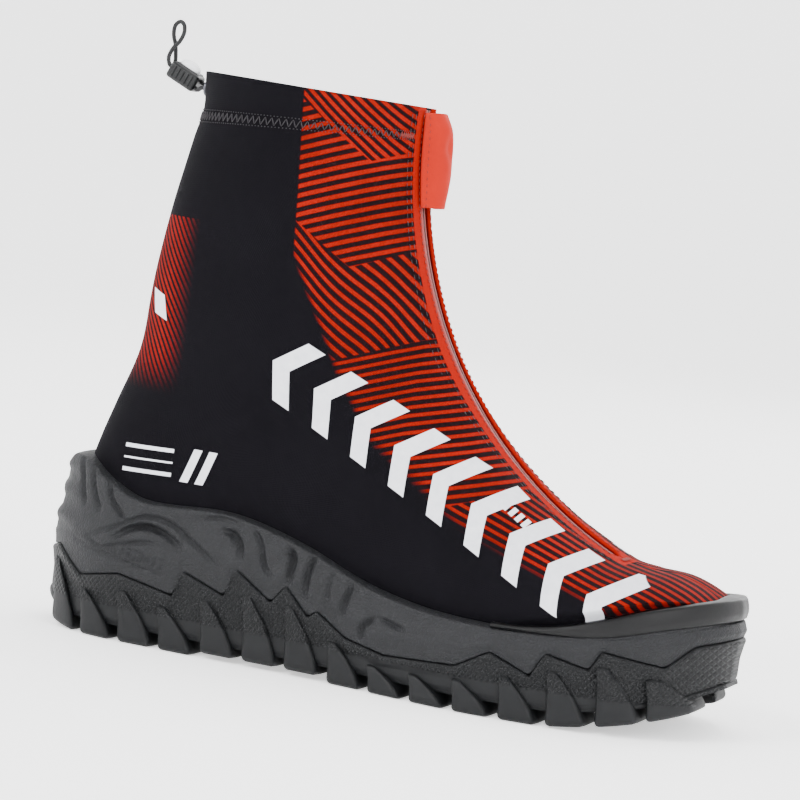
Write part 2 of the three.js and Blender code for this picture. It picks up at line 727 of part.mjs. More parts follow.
function backSeamTape() {
  return strip({
    from: HEM_END + 1.5,
    to: 18,
    y0: -4,
    y1: 4,
    outer: UNDER,
    inner: UNDER + 0.6,
    face: "back",
  });
}

// ---- the zip ----

const ZIP_START = TOP_ANGLE + 0.3;
const CHAIN_TOP = UNDER + TAPE_THICKNESS + CLEARANCE;
const CHAIN_BOTTOM = CHAIN_TOP + CHAIN_THICKNESS;
const sliderStart = SLIDER_ANGLE;
const sliderEnd = SLIDER_ANGLE + deg(SLIDER_LENGTH / INSTEP_RADIUS);

const zipTape = (side) => strip({
  from: ZIP_START,
  to: ZIP_END_ANGLE,
  y0: side * ZIP_SLIT_HALF,
  y1: side * (ZIP_SLIT_HALF + TAPE_WIDTH),
  outer: UNDER,
  inner: UNDER + TAPE_THICKNESS,
  columns: 3,
});

const zipChain = (side) => strip({
  from: SLIDER_ANGLE - 0.5,
  to: ZIP_END_ANGLE - 1,
  y0: side * ZIP_SLIT_HALF,
  y1: side * (ZIP_SLIT_HALF + CHAIN_WIDTH),
  outer: CHAIN_TOP,
  inner: CHAIN_BOTTOM,
  columns: 1,
});

const zipStop = (from, to, y0, y1) => fanBlock(
  from,
  to,
  INSTEP_RADIUS + CHAIN_TOP + 0.2,
  INSTEP_RADIUS + CHAIN_BOTTOM + 0.3,
  y0,
  y1,
);

// Two plates, one on each side of the tapes, on a neck that runs in the slit. A lug on the
// upper plate carries the pin of the pull.
const PLATE_HALF = 4.2;
const NECK_HALF = ZIP_SLIT_HALF - 0.3;
const PULL_PIN = { radius: 0.7, outwards: 2.0, half: 2.7 };
const pinAngle = (sliderStart + sliderEnd) / 2;
const pinPoint = fanPoint(pinAngle, INSTEP_RADIUS - PULL_PIN.outwards, 0);

function zipSlider() {
  const at = (inset) => INSTEP_RADIUS + inset;
  const plateTop = SOFTSHELL;
  const underPlate = CHAIN_BOTTOM + 0.7;
  const part = (from, to, near, far, y0, y1) => fanBlock(from, to, at(near), at(far), y0, y1);
  const pin = PULL_PIN;
  return part(sliderStart, sliderEnd, plateTop - 1.3, plateTop, -PLATE_HALF, PLATE_HALF)
    .add(part(sliderStart, sliderEnd, plateTop - 0.2, underPlate + 0.2, -NECK_HALF, NECK_HALF))
    .add(part(sliderStart, sliderEnd, underPlate, underPlate + 1.1, -PLATE_HALF, PLATE_HALF))
    .add(part(pinAngle - 0.5, pinAngle + 0.5, -pin.outwards - 0.9, plateTop - 1, -1.1, 1.1))
    .add(turned(
      [[0, -pin.half], [pin.radius, -pin.half], [pin.radius, pin.half], [0, pin.half]],
      pinPoint,
      new THREE.Vector3(0, 1, 0),
      12,
    ));
}

// A fork round the pin and a flat grip that hangs down along the zip.
function zipPull() {
  const eye = 1.5;
  const gap = 1.1 + CLEARANCE;
  const outline = new THREE.Shape();
  outline.absarc(0, 0, eye, Math.PI / 2, 1.5 * Math.PI);
  outline.lineTo(PULL_LENGTH, -0.6);
  outline.lineTo(PULL_LENGTH, 0.6);
  const geometry = new THREE.ExtrudeGeometry(outline, {
    depth: 2 * PULL_PIN.half,
    bevelEnabled: false,
    curveSegments: 8,
  });
  geometry.translate(0, 0, -PULL_PIN.half);
  let pull = solid(geometry);
  const bore = PULL_PIN.radius + CLEARANCE;
  const straight = new THREE.Vector3(0, 0, 1);
  const origin = new THREE.Vector3();
  pull = pull.subtract(turned([[0, -5], [bore, -5], [bore, 5], [0, 5]], origin, straight, 12));
  pull = pull.subtract(solid(new THREE.BoxGeometry(8, 6, 2 * gap)));
  const along = new THREE.Vector3(Math.sin(rad(pinAngle)), 0, -Math.cos(rad(pinAngle)));
  const outwards = new THREE.Vector3(Math.cos(rad(pinAngle)), 0, Math.sin(rad(pinAngle)));
  const place = new THREE.Matrix4().makeBasis(along, outwards, new THREE.Vector3().crossVectors(along, outwards));
  place.setPosition(pinPoint);
  return solid(geometryOf(pull).applyMatrix4(place));
}

// The soft cover of the closed zip's end: sewn down on the lateral side, arched over the
// slider and open at the bottom.
const GARAGE = { from: TOP_ANGLE + 0.2, length: 42, lateral: -8, medial: 12, fabric: 1.5, bulge: 9 };
const garageEnd = GARAGE.from + deg(GARAGE.length / INSTEP_RADIUS);

function garageTab() {
  const swell = smooth([[0, 0.45], [0.25, 0.95], [0.55, 1], [0.85, 0.8], [1, 0.65]]);
  const height = (across, along) => GARAGE.bulge * swell(along) * Math.sin(Math.PI * across) ** 0.6;
  return strip({
    from: GARAGE.from,
    to: garageEnd,
    y0: GARAGE.lateral,
    y1: GARAGE.medial,
    outer: (across, along) => -CLEARANCE - GARAGE.fabric - height(across, along),
    inner: (across, along) => -CLEARANCE - height(across, along),
    rows: Array.from({ length: 8 }, (_, i) => GARAGE.from + ((garageEnd - GARAGE.from) * i) / 7),
    columns: 12,
  });
}

function stormFlap() {
  return strip({
    from: HEM_END + 1,
    to: ZIP_END_ANGLE - 3,
    y0: -13,
    y1: 13,
    outer: CHAIN_BOTTOM + 2.3 - FRONT_SPACE,
    inner: CHAIN_BOTTOM + 2.9 - FRONT_SPACE,
    front: FRONT_SPACE,
    columns: 4,
  });
}

// ---- the cord lock behind the collar ----

// Its frame: a runs along the cord towards the collar, b is the way the button stands out.
const LOCK_TILT = 24.8;
const lockCentre = new THREE.Vector3(-120.4 * SCALE, 0, SHAFT_HEIGHT - 1.6);
const lockAlong = new THREE.Vector3(Math.cos(rad(LOCK_TILT)), 0, -Math.sin(rad(LOCK_TILT)));
const lockUp = new THREE.Vector3(Math.sin(rad(LOCK_TILT)), 0, Math.cos(rad(LOCK_TILT)));
const lockMatrix = new THREE.Matrix4()
  .makeBasis(lockAlong, new THREE.Vector3(0, 1, 0), lockUp)
  .setPosition(lockCentre);
const inLock = (a, y, b) => new THREE.Vector3(a, y, b).applyMatrix4(lockMatrix);
const BUTTON = { length: 10, depth: 5.4, out: 3.6, sunk: 3.2 };
const SPRING = { radius: 1.8, wall: 0.6 };

const roundedBlock = (length, depth, height, radius) => solid(
  new RoundedBoxGeometry(length, depth, height, 1, radius),
);
const placedInLock = (shape) => solid(geometryOf(shape).applyMatrix4(lockMatrix));
const boxAt = (length, depth, low, high) => solid(
  new THREE.BoxGeometry(length, depth, high - low).translate(0, 0, (low + high) / 2),
);
const pocketFloor = LOCK_HEIGHT / 2 - BUTTON.sunk - BUTTON_TRAVEL - 0.4;

function cordLockBody() {
  const pocket = boxAt(BUTTON.length + 2 * CLEARANCE, BUTTON.depth + 2 * CLEARANCE, pocketFloor, 20);
  return placedInLock(roundedBlock(LOCK_LENGTH, LOCK_DEPTH, LOCK_HEIGHT, 1.4).subtract(pocket));
}

function cordLockButton() {
  const low = LOCK_HEIGHT / 2 - BUTTON.sunk;
  const high = LOCK_HEIGHT / 2 + BUTTON.out;
  const shape = new THREE.Shape();
  const reach = BUTTON.length / 2;
  shape.moveTo(-reach, low);
  shape.lineTo(reach, low);
  shape.lineTo(reach, high - 2.4);
  shape.quadraticCurveTo(reach - 0.6, high, reach - 3.4, high);
  shape.lineTo(-reach + 3.4, high);
  shape.quadraticCurveTo(-reach + 0.6, high, -reach, high - 2.4);
  const geometry = new THREE.ExtrudeGeometry(shape, {
    depth: BUTTON.depth,
    bevelEnabled: false,
    curveSegments: 5,
  });
  geometry.translate(0, 0, -BUTTON.depth / 2).rotateX(Math.PI / 2);
  return placedInLock(solid(geometry));
}

function cordLockSpring() {
  const low = pocketFloor + CLEARANCE;
  const high = LOCK_HEIGHT / 2 - BUTTON.sunk - CLEARANCE;
  const { radius, wall } = SPRING;
  const profile = [[radius - wall, low], [radius, low], [radius, high], [radius - wall, high], [radius - wall, low]];
  const ring = turned(profile, new THREE.Vector3(), new THREE.Vector3(0, 0, 1), 12);
  return placedInLock(ring);
}

const LOCK_END = LOCK_LENGTH / 2 + CLEARANCE;
const TAIL_SPREAD = 2.2;

// From the run in the hem, out through its eyelet, to the lock.
function drawcordTail(name) {
  const side = name === "lateral" ? -1 : 1;
  const inside = exitPoint(name, CORD_LAYER + 0.2);
  const outside = exitPoint(name, -2.6);
  const middle = exitPoint(name, 0.4);
  const end = inLock(LOCK_END, side * TAIL_SPREAD, side * 1.4);
  const before = inLock(LOCK_END + 1.2, side * TAIL_SPREAD, side * 1.4);
  return cord([inside, middle, outside, before, end], CORD_DIAMETER, 8);
}

// The free loop, crossed once above the lock.
const LOOP = [
  [-LOCK_END, -2.0, 0.9],
  [-LOCK_END - 1.0, -2.0, 0.9],
  [-LOCK_END - 3.0, -1.9, 3.4],
  [-10.9, -1.3, 7.4],
  [-10.2, -0.5, 11.2],
  [-10.6, 0, 15.2],
  [-12.4, 0.2, 18.0],
  [-14.8, 0.4, 18.3],
  [-16.0, 0.6, 15.6],
  [-14.6, 0.9, 11.9],
  [-11.6, 1.5, 8.3],
  [-LOCK_END - 1.4, 2.0, 3.6],
  [-LOCK_END - 0.9, 2.2, 2.2],
  [-LOCK_END, 2.2, 2.2],
];
const drawcordLoop = () => cord(LOOP.map((p) => inLock(...p)), CORD_DIAMETER, 30);

// ---- the boot ----

const boot = new THREE.Group();
const materials = {
  outsole: new THREE.MeshStandardMaterial({ color: 0x1b1b1d, roughness: 0.75 }),
  foam: new THREE.MeshStandardMaterial({ color: 0x2c2d31, roughness: 0.7 }),
  rand: new THREE.MeshStandardMaterial({ color: 0x141416, roughness: 0.6 }),
  black: new THREE.MeshStandardMaterial({ color: 0x1a1a1d, roughness: 0.9 }),
  red: new THREE.MeshStandardMaterial({ color: 0xd0361c, roughness: 0.7 }),
  lining: new THREE.MeshStandardMaterial({ color: 0x3a3a3e, roughness: 0.95 }),
  steel: new THREE.MeshStandardMaterial({ color: 0x9a9ca0, roughness: 0.35, metalness: 0.9 }),
  plastic: new THREE.MeshStandardMaterial({ color: 0x202124, roughness: 0.45 }),
  white: new THREE.MeshStandardMaterial({ color: 0xe8e9ea, roughness: 0.4 }),
  board: new THREE.MeshStandardMaterial({ color: 0xb9a98c, roughness: 0.9 }),
};

function add(name, shape, material) {
  const mesh = new THREE.Mesh(geometryOf(shape), materials[material]);
  mesh.name = name;
  boot.add(mesh);
}

add("outsole", outsole(), "outsole");
add("midsole", midsole(), "foam");
add("shank", shank(), "steel");
add("toe_rand", toeRand(), "rand");
add("lasting_board", lastingBoard(), "board");
add("footbed", footbed(), "lining");
add("heel_counter", heelCounter(), "plastic");
add("toe_puff", toePuff(), "plastic");
add("inner_vamp", innerVamp(), "lining");
add("inner_quarter_lateral", quarter(lateralHalf), "lining");
add("inner_quarter_medial", quarter(medialHalf), "lining");
add("inner_collar", innerCollar(), "lining");
add("tongue", tongue(), "lining");
add("lace_facing_lateral", laceFacing(-1), "black");
add("lace_facing_medial", laceFacing(1), "black");
for (let i = 0; i < GUIDES; i += 1) {
  add(`lace_guide_${i + 1}`, laceGuide(i), "red");
}
add("lace", lace(), "black");
add("lace_lock_body", laceLockBody(), "plastic");
add("lace_lock_button", laceLockButton(), "red");
add("gaiter_lateral", gaiterHalf(lateralHalf, "lateral"), "black");
add("gaiter_medial", gaiterHalf(medialHalf, "medial"), "black");
add("back_seam_tape", backSeamTape(), "black");
add("collar_hem", collarHem(), "black");
for (const name of ["lateral", "medial"]) {
  const side = name === "lateral" ? -1 : 1;
  const y0 = side * ZIP_SLIT_HALF;
  const y1 = side * (ZIP_SLIT_HALF + CHAIN_WIDTH + 0.4);
  add(`zip_tape_${name}`, zipTape(side), "red");
  add(`zip_chain_${name}`, zipChain(side), "black");
  add(`zip_top_stop_${name}`, zipStop(SLIDER_ANGLE - 1.1, SLIDER_ANGLE - 0.6, y0, y1), "steel");
  add(`cord_eyelet_${name}`, eyelet(name), "plastic");
  add(`drawcord_run_${name}`, drawcordRun(name), "black");
  add(`drawcord_tail_${name}`, drawcordTail(name), "black");
}
add("zip_bottom_stop", zipStop(ZIP_END_ANGLE - 0.9, ZIP_END_ANGLE - 0.2, -3.2, 3.2), "steel");
add("zip_slider", zipSlider(), "steel");
add("zip_pull", zipPull(), "red");
add("storm_flap", stormFlap(), "black");
add("garage_tab", garageTab(), "red");
add("cord_lock_body", cordLockBody(), "plastic");
add("cord_lock_button", cordLockButton(), "white");
add("cord_lock_spring", cordLockSpring(), "steel");
add("drawcord_loop", drawcordLoop(), "black");

export default boot;
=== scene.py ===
import bisect
import functools
import math

import bmesh
import bpy
from mathutils import Matrix, Vector, noise


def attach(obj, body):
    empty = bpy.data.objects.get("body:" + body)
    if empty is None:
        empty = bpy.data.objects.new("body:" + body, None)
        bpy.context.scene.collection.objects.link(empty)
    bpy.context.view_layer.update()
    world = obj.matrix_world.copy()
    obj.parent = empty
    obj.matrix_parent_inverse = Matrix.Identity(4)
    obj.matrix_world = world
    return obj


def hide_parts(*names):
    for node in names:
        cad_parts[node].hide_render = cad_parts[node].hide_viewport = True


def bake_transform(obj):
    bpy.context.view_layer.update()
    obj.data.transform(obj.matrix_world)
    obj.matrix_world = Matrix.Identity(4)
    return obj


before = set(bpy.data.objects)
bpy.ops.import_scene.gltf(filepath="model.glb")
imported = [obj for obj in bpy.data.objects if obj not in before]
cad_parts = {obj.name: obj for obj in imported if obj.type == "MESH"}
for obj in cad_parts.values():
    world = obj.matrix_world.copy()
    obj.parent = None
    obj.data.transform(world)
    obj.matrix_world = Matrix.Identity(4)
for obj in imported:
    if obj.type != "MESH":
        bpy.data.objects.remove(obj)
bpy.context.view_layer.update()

bl_info = {
    "name": "Cross country boot",
    "version": (1, 0, 0),
    "blender": (4, 5, 0),
    "location": "3D View > Sidebar > Boot",
    "description": "Builds the visible pieces and finishes of a zipped cross country boot",
    "category": "Object",
}

MM = 0.001
TO_METRES = Matrix.Diagonal((MM, MM, MM, 1))

# ---- the shape that the upper's layers share ----

FAN = (171.0, 230.0)  # the instep arc's axis, in X and Z
TIP_ANGLE = 83.2
BALL_ANGLE = 68.0
TOP_ANGLE = -2.0
UNDER = 1.8  # first layer under the cover
INSIDE = 6.9  # the liner's inner face
FRONT_SPACE = 6.2
ZIP_END = 65.0
HALF = 151.5
FRONT_RADIUS = 180.0  # of the arc down the middle of the cover's front
LINER_DEPTH = 3.7  # from the cover's face to the liner's
LINER_CUT = 51.0  # the X at which the quarters meet the vamp
SEAM_STITCHES = 95  # in each half of the collar's zigzag


def smooth(points):
    """A smooth curve through (x, value) points, level past its ends."""
    slopes = []
    for i in range(len(points)):
        before, after = points[max(i - 1, 0)], points[min(i + 1, len(points) - 1)]
        slopes.append((after[1] - before[1]) / (after[0] - before[0]))

    def value(x):
        if x <= points[0][0]:
            return points[0][1]
        if x >= points[-1][0]:
            return points[-1][1]
        i = max(k for k, point in enumerate(points) if point[0] <= x)
        width = points[i + 1][0] - points[i][0]
        t = (x - points[i][0]) / width
        a, b = points[i][1], points[i + 1][1]
        da, db = slopes[i] * width, slopes[i + 1] * width
        return a + da * t + (3 * (b - a) - 2 * da - db) * t**2 + (2 * (a - b) + da + db) * t**3

    return value


def zigzag(points):
    """Straight lines through (x, value) points."""

    def value(x):
        i = next((k for k, point in enumerate(points) if point[0] > x), len(points) - 1)
        i = max(i, 1)
        t = (x - points[i - 1][0]) / (points[i][0] - points[i - 1][0])
        return mix(points[i - 1][1], points[i][1], clamp(t))

    return value


def clamp(x, low=0.0, high=1.0):
    """x, kept between low and high."""
    return min(max(x, low), high)


def mix(a, b, t):
    """a at 0 and b at 1, in a straight line."""
    return a + (b - a) * t


def ease(x, low, high):
    """0 up to low and 1 from high, with a smooth step between."""
    t = clamp((x - low) / (high - low))
    return t * t * (3 - 2 * t)


def power(value, exponent):
    """A power that keeps the sign."""
    return math.copysign(abs(value) ** exponent, value)


top_radius = smooth([
    (0, 180), (66, 180), (70, 177.5), (74, 174.5), (78, 175.5), (81, 179), (83.2, 185),
])
back_radius = smooth([
    (-20, 293), (0.4, 278), (3.9, 281.6), (8.9, 289.5), (13.9, 298.8), (17, 305.3),
    (20.7, 314.3), (24.1, 330), (26.5, 343), (28.5, 353), (30.5, 360), (32.5, 361),
    (34.4, 352), (37.4, 328), (42, 298.5), (49.9, 265.4), (59.7, 239.8), (68.6, 222.3),
    (75.9, 209.3), (81, 197.5), (83.2, 188),
])
foot_half_width = smooth([
    (0, 41), (10, 39.5), (20, 38), (32, 36.5), (40, 38), (48, 42), (56, 47), (64, 50),
    (72, 50.5), (83.2, 49),
])
front_squareness = smooth([(0, 2.05), (20, 2.15), (40, 2.3), (60, 2.4), (83.2, 2.3)])
back_squareness = smooth([(0, 2.05), (20, 2.2), (30, 2.6), (40, 3.1), (60, 3.4), (83.2, 2.8)])
front_room = smooth([(0, 1), (62, 1), (66, 0.75), (72, 0.2), (76, 0)])


@functools.lru_cache(maxsize=200000)
def section(angle, inset, front=0.0):
    """Middle, half width, (half length, power) to the front and the back, and sideways shift."""
    tip = TIP_ANGLE - math.degrees(inset / 186)
    past = max(angle - BALL_ANGLE, 0) / (tip - BALL_ANGLE)
    at = angle if angle <= BALL_ANGLE else BALL_ANGLE + past * (TIP_ANGLE - BALL_ANGLE)
    low, high = top_radius(at), back_radius(at)
    length = (high - low) / 2
    width = foot_half_width(at) * math.sqrt(max(1 - past**2.4, 0.0025))
    room = front * front_room(angle)
    ahead = (-max(length - inset - room, length * 0.25), front_squareness(at))
    behind = (max(length - inset, length * 0.25), back_squareness(at))
    return (high + low) / 2, max(width - inset, width * 0.25), ahead, behind, 6 * ease(at, 66, 85)


def fan_point(angle, radius, y):
    a = math.radians(angle)
    return Vector((FAN[0] - radius * math.cos(a), y, FAN[1] - radius * math.sin(a)))


def layer_point(angle, turn, inset, front=0.0):
    """A point of a layer: turn 0 is the middle of the front, 180 the back, 90 the medial side."""
    middle, width, ahead, behind, shift = section(angle, inset, front)
    t = math.radians(turn)
    length, exponent = ahead if math.cos(t) > 0 else behind
    radius = middle + length * abs(math.cos(t)) ** (2 / exponent)
    return fan_point(angle, radius, shift + width * power(math.sin(t), 2 / exponent))


def face_point(angle, y, inset, front=0.0, back=False):
    """A point on the front or the back of a layer, y from its middle."""
    middle, width, ahead, behind, shift = section(angle, inset, front)
    length, exponent = behind if back else ahead
    share = max(1 - abs(y / width) ** exponent, 0) ** (1 / exponent)
    return fan_point(angle, middle + length * share, shift + y)


def turn_at(angle, y, inset=0.0, front=0.0):
    """The turn at which a layer's front is y from its middle."""
    _, width, ahead, _, _ = section(angle, inset, front)
    return math.degrees(math.asin(clamp(abs(y) / width) ** (ahead[1] / 2)))


def within(point, inset=0.0):
    """Whether a point lies inside a layer."""
    across, down = FAN[0] - point.x, FAN[1] - point.z
    angle = math.degrees(math.atan2(down, across))
    if angle > TIP_ANGLE:
        return False
    middle, width, ahead, behind, shift = section(round(angle, 2), inset)
    offset = math.hypot(across, down) - middle
    length, exponent = ahead if offset < 0 else behind
    return abs(offset / length) ** exponent + abs((point.y - shift) / width) ** exponent < 1


def angle_at_height(z):
    """The fan angle at which the collar's sides reach a height."""
    return -math.degrees(math.asin((z - FAN[1]) / 229))


# ---- the outline of the sole and its heights ----

lateral_side = smooth([
    (-140, 38), (-112, 41), (-60, 43.5), (-10, 46), (50, 55), (85, 54), (120, 51), (151.5, 44),
])
medial_side = smooth([
    (-140, 38), (-112, 40), (-60, 40), (-15, 41), (35, 48.5), (80, 55), (120, 51), (151.5, 44),
])
end_shift = smooth([(60, 0), (HALF, 5)])
rise = smooth([
    (-151.5, 8), (-140, 2.5), (-126, 0), (-120, 0), (80, 0), (86, 0), (112, 3.5), (134, 9),
    (151.5, 16),
])
wave = zigzag([
    (-152, 31), (-141, 34), (-125, 24), (-105, 28), (-79, 23), (-76, 34), (-56, 27), (-52, 39),
    (-35, 28), (-29, 36), (-18, 25), (-14, 28), (0, 19.5), (18, 16), (50, 18), (64, 26),
    (81, 19), (86, 29), (104, 25), (108, 33), (131, 29), (140, 38), (152, 41),
])
cup_top = smooth([
    (-151.5, 36), (-149.5, 46), (-147, 58), (-143.5, 70), (-140, 73.5), (-131, 73), (-114, 65),
    (-98, 60), (-58, 61), (-25, 53.5), (8, 42), (41, 37), (84, 37), (108, 39), (130, 44.5),
    (151, 49),
])


def spring(x):
    """How far the tread rises from the ground at heel and toe."""
    return max(rise(x), 0.0)


def side_y(x, side):
    """Where the sole's outline lies at an x, on the lateral (-1) or medial (1) side."""
    reach = (52 - HALF - x) / 52 if x < 0 else (x - HALF + 62) / 62
    share = math.sqrt(max(1 - max(reach, 0) ** 2.3, 0.02))
    return end_shift(x) + side * (lateral_side(x) if side < 0 else medial_side(x)) * share


def resampled(points, count, closed=False):
    """Points at equal steps along a line."""
    line = points + [points[0]] if closed else points
    lengths = [0.0]
    for a, b in zip(line, line[1:]):
        lengths.append(lengths[-1] + (b - a).length)
    steps = count if closed else count - 1
    made, k = [], 0
    for i in range(count):
        at = lengths[-1] * i / steps
        while k < len(lengths) - 2 and lengths[k + 1] < at:
            k += 1
        share = (at - lengths[k]) / max(lengths[k + 1] - lengths[k], 1e-9)
        made.append(line[k].lerp(line[k + 1], clamp(share)))
    return made


def relaxed(points, rounds, closed=False):
    """The same line with its corners rounded; an open line keeps its ends."""
    for _ in range(rounds):
        last = len(points) - 1
        points = [
            p if not closed and i in (0, last)
            else (points[i - 1] + p * 2 + points[(i + 1) % (last + 1)]) / 4
            for i, p in enumerate(points)
        ]
    return points


@functools.lru_cache(maxsize=1)
def outline():
    """The sole's outline, from the heel round the lateral side, as (point, outward) pairs."""
    stations = [-HALF * math.cos(math.pi * i / 240) for i in range(241)]
    line = [Vector((x, side_y(x, -1), 0)) for x in stations]
    line += [Vector((x, side_y(x, 1), 0)) for x in reversed(stations)]
    line = relaxed(resampled(line, 760, closed=True), 6, closed=True)
    pairs = []
    for i, point in enumerate(line):
        along = line[(i + 1) % len(line)] - line[i - 1]
        pairs.append((point, Vector((along.y, -along.x, 0)).normalized()))
    return pairs


# ---- meshes ----


def finished(obj, finish, body, *nodes, slot=None):
    """Gives a piece its finish, its body and the frame nodes that it stands for."""
    obj.data.materials.clear()
    obj.data.materials.append(finish)
    if obj.type == "MESH":
        for polygon in obj.data.polygons:
            polygon.use_smooth = True
    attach(obj, body)
    if nodes:
        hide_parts(*nodes)
    return obj


def object_from(bm, name):
    """A new object that takes over a bmesh."""
    mesh = bpy.data.meshes.new(name)
    bm.to_mesh(mesh)
    bm.free()
    obj = bpy.data.objects.new(name, mesh)
    bpy.context.scene.collection.objects.link(obj)
    return obj


def sheet(name, columns, rows, place, around=False, facing=None):
    """A grid bent to place(u, v), both from 0 to 1, facing away from a point in the boot."""
    bm = bmesh.new()
    bm.loops.layers.uv.new("UVMap")
    bmesh.ops.create_grid(bm, x_segments=columns, y_segments=rows, size=0.5, calc_uvs=True)
    for vert in bm.verts:
        vert.co = place(vert.co.x + 0.5, vert.co.y + 0.5) * MM
    if around:
        bmesh.ops.remove_doubles(bm, verts=bm.verts, dist=1e-6)
    bm.normal_update()
    if facing is None:
        bmesh.ops.recalc_face_normals(bm, faces=bm.faces)
    else:
        aim = sum(f.normal.dot(f.calc_center_median() - facing * MM) for f in bm.faces)
        if aim < 0:
            bmesh.ops.reverse_faces(bm, faces=bm.faces)
    return object_from(bm, name)


def thicken(obj, thickness, subdivisions=0):
    """A wall of this thickness on the inner side of a sheet."""
    wall = obj.modifiers.new("wall", "SOLIDIFY")
    wall.thickness = thickness * MM
    wall.offset = -1
    if subdivisions:
        soft = obj.modifiers.new("soft", "SUBSURF")
        soft.levels = soft.render_levels = subdivisions
    return obj


def closed_band(name, columns, rows, place):
    """A band whose cross-section is a closed loop in v, capped at both ends."""
    bm = bmesh.new()
    bm.loops.layers.uv.new("UVMap")
    bmesh.ops.create_grid(bm, x_segments=columns, y_segments=rows, size=0.5, calc_uvs=True)
    for vert in bm.verts:
        vert.co = place(vert.co.x + 0.5, (vert.co.y + 0.5) % 1.0) * MM
    bmesh.ops.remove_doubles(bm, verts=bm.verts, dist=1e-6)
    bmesh.ops.holes_fill(bm, edges=[e for e in bm.edges if e.is_boundary], sides=0)
    bmesh.ops.recalc_face_normals(bm, faces=bm.faces)
    return object_from(bm, name)


def loop_section(width, thickness, share, squareness=0.5):
    """A point of a rounded bar's section: across it and through it, at a share of its way round."""
    a = 2 * math.pi * share
    across = width / 2 * power(math.cos(a), squareness)
    return across, thickness / 2 * power(math.sin(a), squareness)


def oriented(centre, along, out):
    """A turn and place: X along, Z out."""
    x = along.normalized()
    y = out.cross(x).normalized()
    return Matrix.Translation(centre) @ Matrix((x, y, x.cross(y))).transposed().to_4x4()


def threads(name, stitches, finish, body, width=0.75, height=0.6):
    """Many short stitches, each from a start to an end on a surface that faces out."""
    bm = bmesh.new()
    for start, end, out in stitches:
        along = end - start
        size = Matrix.Diagonal((along.length / 2 * 1.1 * MM, width / 2 * MM, height / 2 * MM, 1))
        place = oriented((start + end) / 2 * MM, along, out)
        bmesh.ops.create_icosphere(bm, subdivisions=1, radius=1, matrix=place @ size)
    return finished(object_from(bm, name), finish, body)


def block(bm, length, depth, height, bevel, place, bend=None, segments=3, cuts=0):
    """A rounded block added to bm; bend moves its points before it is placed."""
    piece = bmesh.new()
    bmesh.ops.create_cube(piece, size=1, matrix=Matrix.Diagonal((length, depth, height, 1)))
    bmesh.ops.bevel(
        piece, geom=piece.edges, offset=bevel, segments=segments, profile=0.5,
        affect="EDGES", material=-1,
    )
    if cuts:
        bmesh.ops.subdivide_edges(piece, edges=piece.edges, cuts=cuts, use_grid_fill=True)
    for vert in piece.verts:
        if bend:
            vert.co = bend(vert.co)
        vert.co = place @ vert.co
    made = bpy.data.meshes.new("block")
    piece.to_mesh(made)
    piece.free()
    bm.from_mesh(made)
    bpy.data.meshes.remove(made)


def curve_through(name, points, diameter, rounds=6):
    """A round cord on a smooth line through points."""
    line = catmull(points, rounds)
    data = bpy.data.curves.new(name, "CURVE")
    data.dimensions = "3D"
    data.bevel_depth = diameter / 2 * MM
    data.bevel_resolution = 5
    data.use_fill_caps = True
    spline = data.splines.new("POLY")
    spline.points.add(len(line) - 1)
    for knot, point in zip(spline.points, line):
        knot.co = (*(point * MM), 1)
    spline.use_smooth = True
    obj = bpy.data.objects.new(name, data)
    bpy.context.scene.collection.objects.link(obj)
    return obj, line


def catmull(points, rounds):
    """Points on a smooth line through the given ones."""
    line = []
    for i in range(len(points) - 1):
        a, b = points[max(i - 1, 0)], points[i]
        c, d = points[i + 1], points[min(i + 2, len(points) - 1)]
        for k in range(rounds):
            t = k / rounds
            line.append(
                (2 * b + (c - a) * t + (2 * a - 5 * b + 4 * c - d) * t * t
                 + (3 * b - a - 3 * c + d) * t**3) / 2
            )
    return line + [points[-1]]


# ---- finishes ----


class Number:
    """A node's number, used in sums as any number is."""

    def __init__(self, finish, socket):
        self.finish = finish
        self.socket = socket

    def __add__(self, other):
        return self.finish.math("ADD", self, other)

    __radd__ = __add__

    def __sub__(self, other):
        return self.finish.math("SUBTRACT", self, other)

    def __rsub__(self, other):
        return self.finish.math("SUBTRACT", other, self)

    def __mul__(self, other):
        return self.finish.math("MULTIPLY", self, other)

    __rmul__ = __mul__

    def __truediv__(self, other):
        return self.finish.math("DIVIDE", self, other)

    def __abs__(self):
        return self.finish.math("ABSOLUTE", self)

    def at_most(self, other):
        return self.finish.math("MINIMUM", self, other)

    def at_least(self, other):
        return self.finish.math("MAXIMUM", self, other)

    def part(self):
        """What is left of a number past its whole part."""
        return self.finish.math("FRACT", self)

    def rises(self, low, high):
        """0 below low, 1 above high, with a smooth step between."""
        return self.finish.node(
            "ShaderNodeMapRange", {"interpolation_type": "SMOOTHSTEP"},
            {"Value": self, "From Min": low, "From Max": high}, "Result",
        )

    def falls(self, low, high):
        return 1 - self.rises(low, high)


def socket_name(key):
    return key.replace("_", " ").title().replace("Ior", "IOR")


